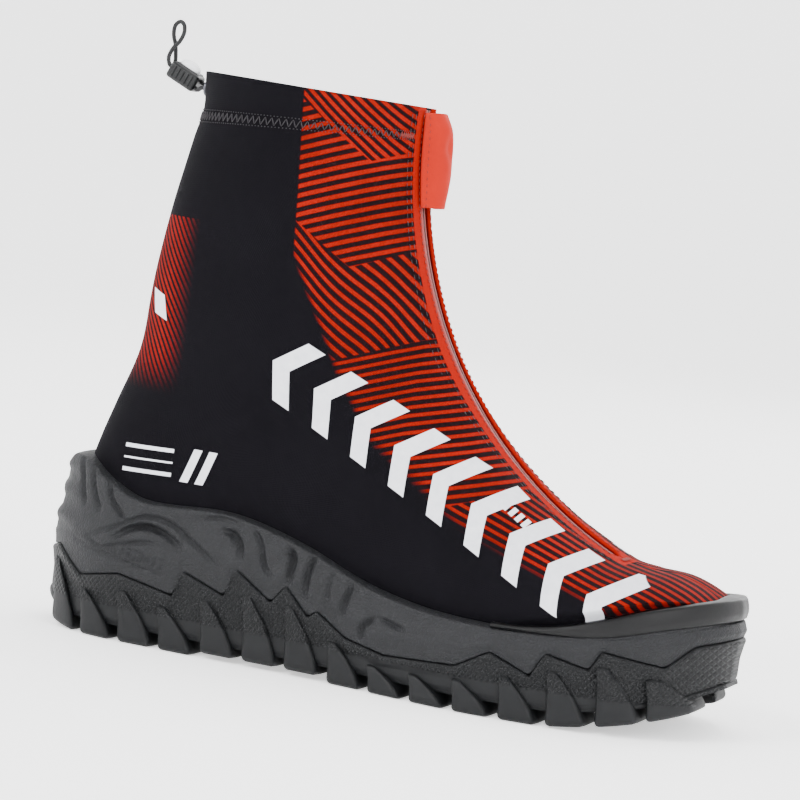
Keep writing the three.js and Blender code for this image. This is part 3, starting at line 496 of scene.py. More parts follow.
class Finish:
    """One material: its shader and the nodes that feed it."""

    def __init__(self, name, roughness=0.6, **values):
        self.material = bpy.data.materials.new(name)
        self.material.use_nodes = True
        self.tree = self.material.node_tree
        self.shader = self.tree.nodes["Principled BSDF"]
        self.shader.inputs["Roughness"].default_value = roughness
        for key, value in values.items():
            self.shader.inputs[socket_name(key)].default_value = value

    def node(self, kind, settings, inputs, output=0):
        """A node of a type, its settings, then its sockets' values or links."""
        made = self.tree.nodes.new(kind)
        for key, value in settings.items():
            if key == "stops":
                ramp = made.color_ramp.elements
                while len(ramp) < len(value):
                    ramp.new(0.5)
                for element, (position, colour) in zip(ramp, value):
                    element.position = position
                    element.color = colour
            else:
                setattr(made, key, value)
        for key, value in inputs.items():
            socket = made.inputs[key]
            if isinstance(value, Number):
                self.tree.links.new(value.socket, socket)
            else:
                socket.default_value = value
        return Number(self, made.outputs[output])

    def math(self, operation, *values):
        return self.node("ShaderNodeMath", {"operation": operation}, dict(enumerate(values)))

    def object_place(self):
        """The point on the piece, as a vector in metres and as x, y and z in millimetres."""
        place = self.node("ShaderNodeTexCoord", {}, {}, "Object")
        split = self.node("ShaderNodeSeparateXYZ", {}, {0: place}, 0).socket.node
        return (place, *(Number(self, split.outputs[i]) * 1000 for i in range(3)))

    def map_place(self):
        """The piece's own u and v."""
        place = self.node("ShaderNodeTexCoord", {}, {}, "UV")
        split = self.node("ShaderNodeSeparateXYZ", {}, {0: place}, 0).socket.node
        return place, Number(self, split.outputs[0]), Number(self, split.outputs[1])

    def noise(self, place, scale, detail=3.0, roughness=0.55):
        return self.node(
            "ShaderNodeTexNoise", {},
            {"Vector": place, "Scale": scale, "Detail": detail, "Roughness": roughness},
        )

    def cells(self, place, scale, feature="F1"):
        return self.node(
            "ShaderNodeTexVoronoi", {"feature": feature},
            {"Vector": place, "Scale": scale}, "Distance",
        )

    def colours(self, factor, first, second):
        """The first colour at 0, the second at 1; either may come from a node."""
        made = self.tree.nodes.new("ShaderNodeMix")
        made.data_type = "RGBA"
        sockets = (made.inputs[0], made.inputs[6], made.inputs[7])
        for socket, value in zip(sockets, (factor, first, second)):
            if isinstance(value, Number):
                self.tree.links.new(value.socket, socket)
            else:
                socket.default_value = value
        return Number(self, made.outputs[2])

    def feed(self, **links):
        """Links or sets the shader's sockets."""
        for key, value in links.items():
            socket = self.shader.inputs[socket_name(key)]
            if isinstance(value, Number):
                self.tree.links.new(value.socket, socket)
            else:
                socket.default_value = value

    def bump(self, height, distance, strength=1.0, under=None):
        inputs = {"Height": height, "Distance": distance * MM, "Strength": strength}
        if under:
            inputs["Normal"] = under
        return self.node("ShaderNodeBump", {}, inputs, "Normal")


def colour(text):
    """A colour written as six hexadecimal digits, as the shader takes it."""
    parts = [int(text[i:i + 2], 16) / 255 for i in (0, 2, 4)]
    linear = [c / 12.92 if c <= 0.04045 else ((c + 0.055) / 1.055) ** 2.4 for c in parts]
    return (*linear, 1.0)


def finish_once(make):
    """Makes a material the first time that it is asked for."""

    @functools.lru_cache(maxsize=None)
    def made():
        return make().material

    return made


def options():
    """What the user chose in the panel."""
    return bpy.context.scene.boot_options


def chosen(name):
    """A colour that the user chose, as the shader takes it."""
    return (*getattr(options(), name), 1.0)


def weave(finish, place_u, place_v, threads_u, threads_v):
    """The height of a plain weave, from the piece's own u and v."""
    u, v = place_u * threads_u, place_v * threads_v
    over = finish.math("SINE", u * (2 * math.pi)) * finish.math("SINE", v * (2 * math.pi))
    return over * 0.5 + 0.5


def stripes(along, pitch, share):
    """1 on a stripe and 0 between stripes, with a slightly soft edge."""
    part = (along / pitch).part()
    half = abs(part - 0.5) * 2
    return half.falls(share - 0.12, share + 0.12)


def white_marks(x, z):
    """Plain chevrons in a row along the side, and a few short bars."""
    s = (x + 36.9) * 0.9 - (z - 119.5) * 0.436
    t = (x + 36.9) * 0.436 + (z - 119.5) * 0.9
    lean = s - abs(t) * 0.6
    chevron = abs((lean / 20.5).part() - 0.5).falls(0.195, 0.205)
    row = chevron * abs(t).falls(13.7, 14) * lean.rises(-20.5, -20.4) * lean.falls(163.9, 164)
    slant = x - (z - 77) * 0.35
    bars = abs((slant / 7).part() - 0.5).falls(0.26, 0.28)
    bars = bars * slant.rises(-84, -83.9) * slant.falls(-70.1, -70) * abs(z - 77).falls(7, 7.2)
    level = z - (x + 100) * 0.04
    lines = abs(level - 71.5).falls(0.7, 0.9).at_least(abs(level - 76.5).falls(0.3, 0.45))
    lines = lines.at_least(abs(level - 81.5).falls(0.7, 0.9))
    lines = lines * x.rises(-113, -112.8) * x.falls(-89.2, -89)
    dash = (x - 60.2) * 0.858 - (z - 79.1) * 0.513
    off = (x - 60.2) * 0.513 + (z - 79.1) * 0.858
    dashes = abs((dash / 3.6).part() - 0.5).falls(0.28, 0.32)
    dashes = dashes * abs(dash).falls(10.7, 10.9) * abs(off).falls(1.3, 1.5)
    rear = abs(x + 108 + (z - 141) * 0.3).falls(3.6, 3.8)
    rear = rear * abs(z - 141 + (x + 108) * 0.3).falls(4.6, 4.8)
    return row.at_least(bars).at_least(lines).at_least(dashes).at_least(rear)


def striped_print(finish, x, y, z, wobble):
    """The stripes: how red a point is, how far it lies in the print, and the red at the heel."""
    high = z - (233 - (x + 49.6) * 0.781).at_least(211.6 + (x + 22.2) * 0.458)
    shaft = z - (183.8 - (x + 47.3) * 0.694).at_least(167.7 + (x + 24.1) * 0.454)
    ankle = z - (131.9 + (x + 18.9) * 0.391)
    instep = z - (81.1 + (x - 40) * 0.398)
    edge = 0.35
    in_high = high.rises(-edge, edge)
    in_shaft = shaft.rises(-edge, edge) * (1 - in_high)
    in_ankle = ankle.rises(-edge, edge) * (1 - shaft.rises(-edge, edge))
    in_instep = instep.rises(-edge, edge) * (1 - ankle.rises(-edge, edge))
    in_toe = 1 - instep.rises(-edge, edge)
    bend = finish.math("SINE", (x + 20) / 6.5) * 1.2
    arch = (x - 8).at_least(0)
    early = (40 - x).at_least(0)
    late = (x - 130).at_least(0)
    toe = z + x * 0.36 - abs(y - 3) * 0.5 - early * early * 0.004 + late * late * 0.02
    lines = [
        (in_high, (x * 0.88 + z) / 1.332, 2.85, 0.5),
        (in_shaft, (z - x * 0.39) / 1.073, 3.7, 0.47),
        (in_ankle, (z + x * 0.8 - bend) / 1.28, 3.5, 0.42),
        (in_instep, (z - x * 0.36 + arch * 0.1) / 1.06, 3.35, 0.42),
        (in_toe, toe, 4.0, 0.42),
    ]
    red = 0
    for region, along, pitch, share in lines:
        red = region * stripes(along + wobble, pitch, share) + red
    side = (x + 47.3 + (z - 184) * 0.052).rises(-0.35, 0.35)
    low = (172 - (x + 46.4) * 1.96).at_least(128 - (x + 24) * 1.43)
    low = low.at_least(103.7 - (x + 7) * 0.62).at_least(75.5 - (x - 38.5) * 0.357)
    printed = side * (z - low).rises(-5, 1.5)
    rear = (x + 97).falls(-9, 7) * z.falls(178.3, 178.7) * z.rises(104, 124)
    rear_red = stripes((z + x * 1.3) / 1.64 + wobble, 2.3, 0.5)
    return red * printed, printed, rear_red * rear


@finish_once
def softshell():
    """Black softshell with a red stripe print and plain white marks."""
    made = Finish("Printed softshell", roughness=0.85)
    made.feed(Specular_Ior_Level=0.05)
    place, x, y, z = made.object_place()
    _, u, v = made.map_place()
    wobble = (made.noise(place, 55) - 0.5) * 0.5
    red, printed, rear = striped_print(made, x, y, z, wobble)
    speckle = made.noise(place, 900, 2)
    cloudy = made.noise(place, 22, 3)
    black = made.colours(cloudy, colour("070609"), chosen("cover_black"))
    ground = made.colours(printed * 0.7, black, colour("180709"))
    deep = made.colours(cloudy.rises(0.3, 0.7), chosen("deep_red"), chosen("red"))
    ink = made.colours(speckle.rises(0.35, 0.65) * 0.3, deep, colour("5c0a02"))
    base = made.colours(red, ground, ink)
    base = made.colours(rear * 0.85, base, ink)
    front = (z - 230) * (z - 230) + (x - 171) * (x - 171)
    middle = abs(y).falls(10.6, 11) * made.math("SQRT", front).falls(186, 187)
    middle = middle * x.falls(102, 102.5)
    strip = made.colours(speckle * 0.25, chosen("red"), colour("7c0d02"))
    base = made.colours(middle, base, strip)
    white = made.colours(made.noise(place, 300, 2), colour("c9cbd2"), chosen("marks"))
    off_the_middle = abs(y).rises(17.5, 17.8).at_least(x.falls(-80, -79))
    marks = white_marks(x, z) * off_the_middle
    base = made.colours(marks, base, white)
    made.feed(Base_Color=base, Roughness=0.88 - marks * 0.25 + (speckle - 0.5) * 0.1)
    threads = weave(made, u, v, 260, 300)
    rough = made.noise(place, 1500, 2)
    made.feed(Normal=made.bump(threads * 0.6 + rough * 0.6, 0.12, 0.8))
    return made


def cloth(name, dark, light, threads_u, threads_v, roughness=0.85, height=0.12):
    """A plain woven cloth in one colour."""

    def make():
        made = Finish(name, roughness=roughness, Specular_Ior_Level=0.15)
        place, *_ = made.object_place()
        _, u, v = made.map_place()
        cloudy = made.noise(place, 60, 3)
        speckle = made.noise(place, 900, 2)
        base = made.colours(cloudy * 0.6 + speckle * 0.4, colour(dark), colour(light))
        made.feed(Base_Color=base, Roughness=roughness + (speckle - 0.5) * 0.15)
        threads = weave(made, u, v, threads_u, threads_v)
        made.feed(Normal=made.bump(threads * 0.7 + speckle * 0.5, height, 0.8))
        return made

    return finish_once(make)


def grained(name, dark, light, grain, height, roughness, coarse=20.0, **values):
    """A moulded or worked material: cloudy colour, worn spots and a grain in relief."""

    def make():
        made = Finish(name, roughness=roughness, **values)
        place, *_ = made.object_place()
        cloudy = made.noise(place, coarse, 4)
        grains = made.noise(place, grain, 4, 0.6)
        base = made.colours(cloudy * 0.55 + grains * 0.45, colour(dark), colour(light))
        made.feed(Base_Color=base, Roughness=roughness + (grains - 0.5) * 0.22)
        made.feed(Normal=made.bump(grains, height, 0.9))
        return made

    return finish_once(make)


@finish_once
def midsole_foam():
    """Charcoal foam with a leathery grain of fine creases, the creases darkened with painted shade.
    """
    made = Finish("Midsole foam", roughness=0.55, Specular_Ior_Level=0.24)
    place, *_ = made.object_place()
    warp = made.noise(place, 240, 3)
    creases_and_painted_shade = made.cells(place, 620, "DISTANCE_TO_EDGE").falls(0.02, 0.22)
    pores = made.noise(place, 1100, 3, 0.6)
    cloudy = made.noise(place, 16, 3)
    base = made.colours(cloudy * 0.6 + warp * 0.4, colour("0e0f11"), chosen("midsole_grey"))
    # painted shade: the colour darkens in the grain's creases, where shade would fall
    base = made.colours(creases_and_painted_shade * 0.4, base, colour("0a0a0c"))
    made.feed(Base_Color=base, Roughness=0.5 + warp * 0.2)
    relief = made.bump(pores * 0.6 + warp * 0.9 - creases_and_painted_shade * 0.5, 0.35, 0.75)
    made.feed(Normal=relief)
    return made


@finish_once
def outsole_rubber():
    """Black rubber, with small diamonds in relief on the upper part of the wall."""
    made = Finish("Outsole rubber", roughness=0.5, Specular_Ior_Level=0.2)
    place, x, _, z = made.object_place()
    cloudy = made.noise(place, 24, 3)
    fine = made.noise(place, 900, 3)
    base = made.colours(cloudy * 0.6 + fine * 0.4, colour("08090a"), chosen("outsole_black"))
    one = abs(((x + z * 0.8) / 2.3).part() - 0.5)
    two = abs(((x - z * 0.8) / 2.3).part() - 0.5)
    diamonds = one.at_most(two).rises(0.06, 0.3)
    walls = abs(made.node("ShaderNodeSeparateXYZ", {}, {
        0: made.node("ShaderNodeNewGeometry", {}, {}, "Normal"),
    }, 2)).falls(0.45, 0.7)
    shown = walls * z.rises(13.5, 15)
    made.feed(Base_Color=base, Roughness=0.48 + cloudy * 0.15)
    relief = made.bump(diamonds * shown, 0.45, 0.9)
    made.feed(Normal=made.bump(fine, 0.12, 0.6, relief))
    return made


@finish_once
def braid():
    """Black elastic cord with a braided cover, painted darker where the strands dip, as shade."""
    made = Finish("Braided cord", roughness=0.75)
    _, x, y, z = made.object_place()
    one = made.math("SINE", (x + y + z * 1.4) * 5.2)
    two = made.math("SINE", (x - y - z * 1.4) * 5.2)
    over = one * two
    # painted shade: the cord is darker where the braid's strands dip and lighter where they rise
    base = made.colours(over * 0.5 + 0.5, colour("070708"), colour("17171a"))
    made.feed(Base_Color=base, Normal=made.bump(over, 0.15, 0.8))
    return made


@finish_once
def zip_tape_finish():
    """A coated red zip tape with a faint rib along its edge, and painted shade darkening it at the
    slit.
    """
    made = Finish("Coated zip tape", roughness=0.45, coat_weight=0.15)
    place, _, y, _ = made.object_place()
    fine = made.noise(place, 1000, 2)
    ribs = made.math("SINE", y * 6.5)
    base = made.colours(fine * 0.6, chosen("red"), colour("7c0d02"))
    # painted shade: the tape goes near-black along the slit where the two tapes meet
    edge = abs(y).falls(0.7, 1.4)
    base = made.colours(edge * 0.8, base, colour("260502"))
    made.feed(Base_Color=base, Normal=made.bump(ribs * 0.6 + fine * 0.4, 0.15, 0.7))
    return made


garage_cloth = cloth("Garage fabric", "941102", "ac1a04", 46, 60, 0.8, 0.1)
black_cloth = cloth("Black softshell", "0b0a0d", "131216", 200, 20)
felt = grained("Liner felt", "1c1d20", "34363b", 700, 0.4, 0.95, 40)
mesh_lining = cloth("Padded lining", "1a1b1e", "2e2f34", 150, 60, 0.9, 0.25)
red_webbing = cloth("Red webbing", "8e2314", "c43a22", 12, 40, 0.8, 0.2)
black_webbing = cloth("Black webbing", "141416", "232326", 12, 40, 0.8, 0.2)
dark_thread = grained("Dark thread", "141216", "241f24", 1500, 0.1, 0.7)
red_thread = grained("Red thread", "5c0c02", "7c1404", 1500, 0.1, 0.7)
rand_rubber = grained(
    "Rand rubber", "040405", "0a0a0b", 500, 0.08, 0.42, 18, Specular_Ior_Level=0.2,
)
black_plastic = grained(
    "Black plastic", "060708", "0d0e10", 1200, 0.05, 0.35, Specular_Ior_Level=0.3,
)
red_plastic = grained("Red plastic", "a3260f", "c9371c", 1200, 0.05, 0.35)
white_plastic = grained("White plastic", "cfd0d2", "ececee", 1200, 0.04, 0.32)
zip_metal = grained("Zip metal", "3a3a3e", "5a5a60", 900, 0.05, 0.3, metallic=1.0)
zip_nylon = grained("Zip coil nylon", "161114", "2a1a1c", 1500, 0.15, 0.5)
spring_steel = grained("Spring steel", "7e8085", "a9abb0", 900, 0.03, 0.28, metallic=1.0)
fibre_board = grained("Fibre board", "6b5a44", "8d7a60", 700, 0.2, 0.9)
stiff_board = grained("Stiffener board", "0c0c0e", "151518", 500, 0.15, 0.85)
footbed_foam = grained("Footbed foam", "222327", "3a3c42", 800, 0.35, 0.9)

# ---- pieces ----

LOCK_TILT = math.radians(24.8)
LOCK_CENTRE = Vector((-120.4, 0, 236.4))
LOCK_ALONG = Vector((math.cos(LOCK_TILT), 0, -math.sin(LOCK_TILT)))
LOCK_UP = Vector((math.sin(LOCK_TILT), 0, math.cos(LOCK_TILT)))
LOCK_END = 7.45
CORD = 1.8
LOOP = [
    (-7.45, -2.0, 0.9), (-8.45, -2.0, 0.9), (-10.45, -1.9, 3.4), (-10.9, -1.3, 7.4),
    (-10.2, -0.5, 11.2), (-10.6, 0, 15.2), (-12.4, 0.2, 18.0), (-14.8, 0.4, 18.3),
    (-16.0, 0.6, 15.6), (-14.6, 0.9, 11.9), (-11.6, 1.5, 8.3), (-8.85, 2.0, 3.6),
    (-8.35, 2.2, 2.2), (-7.45, 2.2, 2.2),
]


def in_lock(a, y, b):
    """A point given along, across and above the cord lock's middle."""
    return LOCK_CENTRE + LOCK_ALONG * a + Vector((0, y, 0)) + LOCK_UP * b


def exit_point(y, z, inset):
    """A point on the collar's back, where the elastic cord leaves it."""
    angle = -math.degrees(math.asin((z - FAN[1]) / 278))
    return face_point(angle, y, inset, back=True)


def make_cord():
    """The elastic cord's free loop and its two short ends at the collar."""
    loop, line = curve_through("drawcord_loop_cord", [in_lock(*p) for p in LOOP], CORD)
    finished(loop, braid(), "cord_lock", "drawcord_loop", slot="cord_black")
    length = sum((b - a).length for a, b in zip(line, line[1:])) * MM
    line[0] * MM
    for name, y, z in (("lateral", -4, 232.5), ("medial", 4, 235.5)):
        side = -1 if name == "lateral" else 1
        middle = exit_point(y, z, -1.0)
        points = [
            exit_point(y, z, 1.4), middle, exit_point(y, z, -3.5),
            in_lock(LOCK_END + 1.2, side * 2.2, side * 1.4),
            in_lock(LOCK_END - 0.6, side * 2.2, side * 1.4),
        ]
        tail, _ = curve_through("cord_end_" + name, points, CORD)
        tail = meshed(tail)
        tail.data.materials.clear()
        tail.data.materials.append(braid())
        points[3] * MM
        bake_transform(tail)
        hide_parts("drawcord_tail_" + name)


def meshed(curve):
    """A curve's own surface as a mesh object of the same name."""
    name = curve.name
    graph = bpy.context.evaluated_depsgraph_get()
    mesh = bpy.data.meshes.new_from_object(curve.evaluated_get(graph))
    bpy.data.objects.remove(curve)
    obj = bpy.data.objects.new(name, mesh)
    bpy.context.scene.collection.objects.link(obj)
    for polygon in mesh.polygons:
        polygon.use_smooth = True
    return obj


def make_cord_lock():
    """The cord lock's ribbed body and its oval button."""
    turn = Matrix((LOCK_ALONG, (0, 1, 0), LOCK_UP)).transposed().to_4x4()
    place = TO_METRES @ (Matrix.Translation(LOCK_CENTRE) @ turn)
    bm = bmesh.new()
    block(bm, 14.3, 9.0, 7.5, 1.5, place, segments=4)
    for step in (-4.4, -2.2, 0.0, 2.2, 4.4):
        for side in (-1, 1):
            rib = Matrix.Translation((step, side * 4.6, 0))
            block(bm, 1.0, 0.7, 5.2, 0.3, place @ rib, segments=2)
    block(bm, 11.4, 6.6, 0.9, 0.4, place @ Matrix.Translation((0, 0, 3.75)), segments=2)
    body = finished(
        object_from(bm, "cord_lock_shell"), black_plastic(), "cord_lock", "cord_lock_body",
        slot="plastic_black",
    )
    body.data.polygons.foreach_set("use_smooth", [False] * len(body.data.polygons))
    bm = bmesh.new()
    bmesh.ops.create_uvsphere(bm, u_segments=40, v_segments=20, radius=1)
    for vert in bm.verts:
        p = vert.co
        dome = power(p.z, 0.8) * 3.2 if p.z > 0 else p.z * 1.2
        reach = 1 - 0.1 * max(p.z, 0)
        along, across = 5 * power(p.x, 0.9) * reach, 2.7 * power(p.y, 0.9) * reach
        vert.co = place @ Vector((along, across, 4.15 + dome))
    finished(
        object_from(bm, "cord_lock_cap"), white_plastic(), "cord_lock_button", "cord_lock_button",
        slot="plastic_white",
    )


def cover_front(angle):
    """How far the cover's front edge lies from the middle: the slot of the zip, then its end."""
    return 0.15 + 5.35 * math.sqrt(clamp((ZIP_END + 0.6 - angle) / 1.4))


def dents(point, side):
    """The soft unevenness of worn fabric, in millimetres, inwards."""
    wide = noise.noise(Vector((point.x / 34, side * 7 + point.y / 60, point.z / 26)))
    folds = noise.noise(Vector((point.x / 15 + point.z / 40, side * 3, point.z / 13)))
    at_ankle = ease(point.z, 55, 90) * (1 - ease(point.z, 150, 190))
    at_ankle *= 1 - ease(abs(point.x + 8), 40, 85)
    fold = math.sin((point.z + point.x * 0.9 - 100) / 9.5) * 0.55 * at_ankle
    return wide * 0.7 + folds * 0.45 * at_ankle + fold


TOE_CENTRE = (60.0, 4.0)


@functools.lru_cache(maxsize=1)
def toe_reach():
    """The sole's outline at the toe as (direction, distance) pairs from a point inside it."""
    reach = []
    for point, _ in outline():
        away = (point.x - TOE_CENTRE[0], point.y - TOE_CENTRE[1])
        if away[0] > -30:
            reach.append((math.atan2(away[1], away[0]), math.hypot(*away)))
    return sorted(reach)


def tucked(point, low, high, tall):
    """The point, moved inwards where the sole's outline is narrower than the cover at the toe."""
    if point.x < TOE_CENTRE[0] - 12:
        return point
    away = (point.x - TOE_CENTRE[0], point.y - TOE_CENTRE[1])
    direction, distance = math.atan2(away[1], away[0]), math.hypot(*away)
    reach = toe_reach()
    k = clamp(bisect.bisect(reach, (direction, 0)), 1, len(reach) - 1)
    limit = mix(reach[k - 1][1], reach[k][1], 0.5)
    above_top = point.z - cup_top(point.x)
    inset = mix(low, high, ease(above_top, tall, tall + 12))
    share = ease(point.x, TOE_CENTRE[0] - 12, TOE_CENTRE[0] + 8)
    wanted = min(distance, limit - inset)
    scale = mix(1, wanted / max(distance, 1e-6), share)
    return Vector((TOE_CENTRE[0] + away[0] * scale, TOE_CENTRE[1] + away[1] * scale, point.z))


def rand_height(x):
    """How far the rand stands above the cup's edge."""
    return 1.2 + 7.2 * ease(x, 70, 124)


def cover_half(name, side):
    """One half of the printed softshell cover."""

    def place(u, v):
        angle = mix(TOP_ANGLE, TIP_ANGLE - 0.02, 1 - (1 - v) ** 1.25)
        first = turn_at(angle, cover_front(angle))
        turn = mix(first, 179.9, u)
        point = layer_point(angle, side * turn, 0.0)
        inner = layer_point(angle, side * turn, 1.0)
        quiet = ease(u, 0.02, 0.14) * (1 - ease(u, 0.88, 0.99))
        quiet *= ease(v, 0.02, 0.1) * (1 - ease(v, 0.8, 0.95))
        point = point.lerp(inner, dents(point, side) * quiet)
        return tucked(point, 6.2, -5.0, rand_height(point.x) - 1)

    half = sheet("cover_" + name, 130, 210, place, facing=Vector((-60, 0, 60)))
    thicken(half, options().cover_wall / MM)
    return finished(half, softshell(), "boot", "gaiter_" + name, slot="softshell")


def make_cover():
    """The two halves of the cover, the toe's stiffener below them and the hem's inner facing."""
    for name, side in (("lateral", -1), ("medial", 1)):
        cover_half(name, side)

    def stiffener(u, v):
        turn = mix(-176, 176, u)
        start = max(angle_at_x(turn, 108), 60)
        point = layer_point(mix(start, TIP_ANGLE - 1.5, v), turn, 1.9)
        return tucked(point, 8.2, -3.0, rand_height(point.x) - 1)

    puff = sheet("toe_stiffener", 90, 40, stiffener, facing=Vector((60, 0, 30)))
    thicken(puff, 1.2)
    finished(puff, stiff_board(), "boot", "toe_puff", slot="stiffener")

    def hem(u, v):
        first = turn_at(TOP_ANGLE, 12)
        turn = mix(first, 360 - first, u)
        across, along = loop_section(1, 1, v, 0.6)
        depth = 3.4 + across * 3.6
        end = angle_at_height(223)
        angle = mix(TOP_ANGLE + 0.02, end, along + 0.5)
        if along > -0.32:
            depth = 4.9 + across * 1.1
        return layer_point(angle, turn, depth)

    facing = closed_band("collar_facing", 180, 36, hem)
    finished(facing, black_cloth(), "boot", "collar_hem", slot="softshell")


def seam(angles, y, step, length, lift, back=False):
    """Straight stitches along the front or the back of the cover."""
    stitches = []
    angle = angles[0]
    while angle < angles[1]:
        start = face_point(angle, y, -lift, back=back)
        end = face_point(angle + math.degrees(length / FRONT_RADIUS), y, -lift, back=back)
        out = (start - face_point(angle, y, 2, back=back)).normalized()
        stitches.append((start, end, out))
        angle += math.degrees(step / FRONT_RADIUS)
    return stitches


def tack(angle, y0, y1, rows, height):
    """Dense stitches side by side, as a bar tack has."""
    stitches = []
    for i in range(rows):
        y = mix(y0, y1, i / (rows - 1))
        lean = 0.35 if i % 2 else -0.35
        half = math.degrees(height / 2 / FRONT_RADIUS)
        start = face_point(angle - half, y - lean, -0.35)
        end = face_point(angle + half, y + lean, -0.35)
        out = (start - face_point(angle, y, 2)).normalized()
        stitches.append((start, end, out))
    return stitches


def make_stitching():
    """The flatlock zigzag below the collar, the seams along the zip and the bar tacks."""
    low = angle_at_height(222.5)
    stitches = []
    for side in (-1, 1):
        first = turn_at(low, 12)
        points = []
        for i in range(SEAM_STITCHES + 1):
            turn = side * mix(first, 178, i / SEAM_STITCHES)
            shift = 0.42 if i % 2 else -0.42
            points.append(layer_point(low + shift, turn, -0.28))
        for a, b in zip(points, points[1:]):
            centre = Vector((-70, 0, a.z))
            stitches.append((a, b, (a - centre).normalized()))
        for i in range(SEAM_STITCHES):
            turn = side * mix(first, 178, (i + 0.5) / SEAM_STITCHES)
            for shift in (-0.55, 0.55):
                a = layer_point(low + shift, turn - 0.35, -0.25)
                b = layer_point(low + shift, turn + 0.35, -0.25)
                stitches.append((a, b, (a - Vector((-70, 0, a.z))).normalized()))
    threads("collar_zigzag", stitches, dark_thread(), "boot", 0.5, 0.4)
    dark, red = [], []
    for side in (-1, 1):
        dark += seam((TOP_ANGLE + 1, 65.5), side * 12.2, 3.1, 2.1, 0.2)
        dark += seam((TOP_ANGLE + 1, 65.5), side * 14.4, 3.1, 2.1, 0.2)
        red += seam((TOP_ANGLE + 1, 65), side * 6.6, 2.6, 1.7, 0.2)
        red += tack(1.9, side * 13, side * 19, 13, 3.0)
    red += tack(66.6, -4.5, 4.5, 17, 2.6)
    threads("zip_seams", dark, dark_thread(), "boot", 0.5, 0.3)
    threads("zip_edge_seams", red, red_thread(), "boot", 0.6, 0.5)
    back = [s for y in (-2.4, 2.4) for s in seam((0, 30), y, 2.2, 1.5, 0.2, back=True)]
    threads("back_seams", back, dark_thread(), "boot", 0.55, 0.45)


def make_zip():
    """The coated zip tapes, with their folded edges at the slit."""
    for name, side in (("lateral", -1), ("medial", 1)):

        def place(u, v, side=side):
            angle = mix(TOP_ANGLE + 0.3, ZIP_END, v)
            across = mix(0.55, 9.9, u)
            fold = 0.75 * math.exp(-((across - 1.2) / 0.8) ** 2)
            return face_point(angle, side * across, UNDER - fold)

        tape = sheet("zip_tape_face_" + name, 26, 170, place, facing=Vector((-80, 0, 100)))
        thicken(tape, 0.6)
        finished(tape, zip_tape_finish(), "boot", "zip_tape_" + name, slot="zip_tape_red")


def make_garage():
    """The soft folded tab over the closed zip's slider, with its dimple."""
    first, length = TOP_ANGLE + 0.2, math.degrees(42 / FRONT_RADIUS)
    swell = smooth([(0, 0.5), (0.2, 0.93), (0.5, 1), (0.8, 0.86), (1, 0.62)])
    arch = smooth([(0, 0), (0.12, 0.62), (0.3, 0.93), (0.5, 1), (0.7, 0.93), (0.88, 0.62), (1, 0)])

    def place(u, v):
        along = v - 0.5
        corner = 1 - 0.045 * (1 - arch(u)) - 0.02
        angle = first + length * (0.5 + along * corner)
        dimple = 1.5 * math.exp(-((u - 0.42) / 0.15) ** 2 - ((v - 0.36) / 0.12) ** 2)
        crease = 0.5 * math.exp(-((u - 0.62) / 0.1) ** 2 - ((v - 0.8) / 0.16) ** 2)
        ripple = noise.noise(Vector((u * 3, v * 5, 1.7))) * 0.35 * math.sin(math.pi * u)
        height = options().tab_height / MM * swell(v) * arch(u) - dimple - crease + ripple
        return face_point(angle, mix(-8, 12, u), -0.5 - 0.9 - height)

    tab = sheet("zip_garage", 44, 60, place, facing=Vector((-60, 0, 200)))
    thicken(tab, 1.3, subdivisions=1)
    finished(tab, garage_cloth(), "garage_tab", "garage_tab", slot="garage_fabric")
    edge = []
    for k in range(14):
        v = 0.04 + 0.92 * k / 13
        start, end = place(0.05, v), place(0.05, v + 0.035)
        edge.append((start, end, (start - place(0.05, v) + Vector((0.2, -1, 0))).normalized()))
    threads("garage_stitches", edge, red_thread(), "garage_tab", 0.55, 0.45)


GROOVES = [
    # (points as x and z, width, depth)
    ([(-123.1, 40.8), (-110, 47.2), (-97.1, 53.3), (-85.7, 52.8), (-75.2, 47.9), (-66.4, 42.7),
      (-59.8, 38.6)], 0.85, 1.0),
    ([(-123.1, 40.8), (-115.3, 37.9), (-107.4, 40), (-95.7, 42.8), (-87.5, 42.9)], 0.75, 0.8),
    ([(-109.1, 43.1), (-102.7, 47.5), (-94.8, 49.3), (-86.5, 47.7), (-78.6, 43.6)], 1.25, 2.0),
    ([(-118.6, 72.3), (-114.1, 58.7), (-106.5, 51.1)], 1.0, 1.5),
    ([(-127, 70), (-124, 60), (-119, 52.5)], 1.0, 1.4),
    ([(-134, 72), (-131.5, 61), (-128, 54)], 1.0, 1.4),
    ([(-59.2, 53.5), (-56, 52.7), (-52.2, 49.6), (-50.4, 44.6)], 1.25, 2.0),
    ([(-46.8, 56.3), (-42.8, 51.2), (-40.2, 43.4), (-36.3, 38.2)], 0.9, 1.2),
    ([(-30.2, 50.6), (-27.7, 47.1), (-28.4, 38)], 1.25, 2.0),
    ([(-18.4, 50), (-20.5, 43), (-20.1, 32.4)], 1.1, 1.7),
    ([(-71.8, 56.8), (-61.4, 58.5), (-52.6, 57)], 0.8, 0.8),
    ([(-9, 45), (-10.5, 38), (-9.5, 32)], 0.8, 0.8),
    ([(-0.7, 41), (-2.3, 34.8), (-2.8, 28.8)], 1.1, 1.6),
    ([(12, 30.2), (7.6, 26.1), (6.5, 20.9)], 1.0, 1.3),
    ([(14.4, 30.5), (26, 27.4)], 0.9, 1.0),
    ([(-130, 38.5), (-112, 35.6), (-96, 32.2), (-84, 30.2)], 0.75, 0.6),
]
RIBS = [(-107 + 3 * i, 38 - 0.45 * i) for i in range(8)]


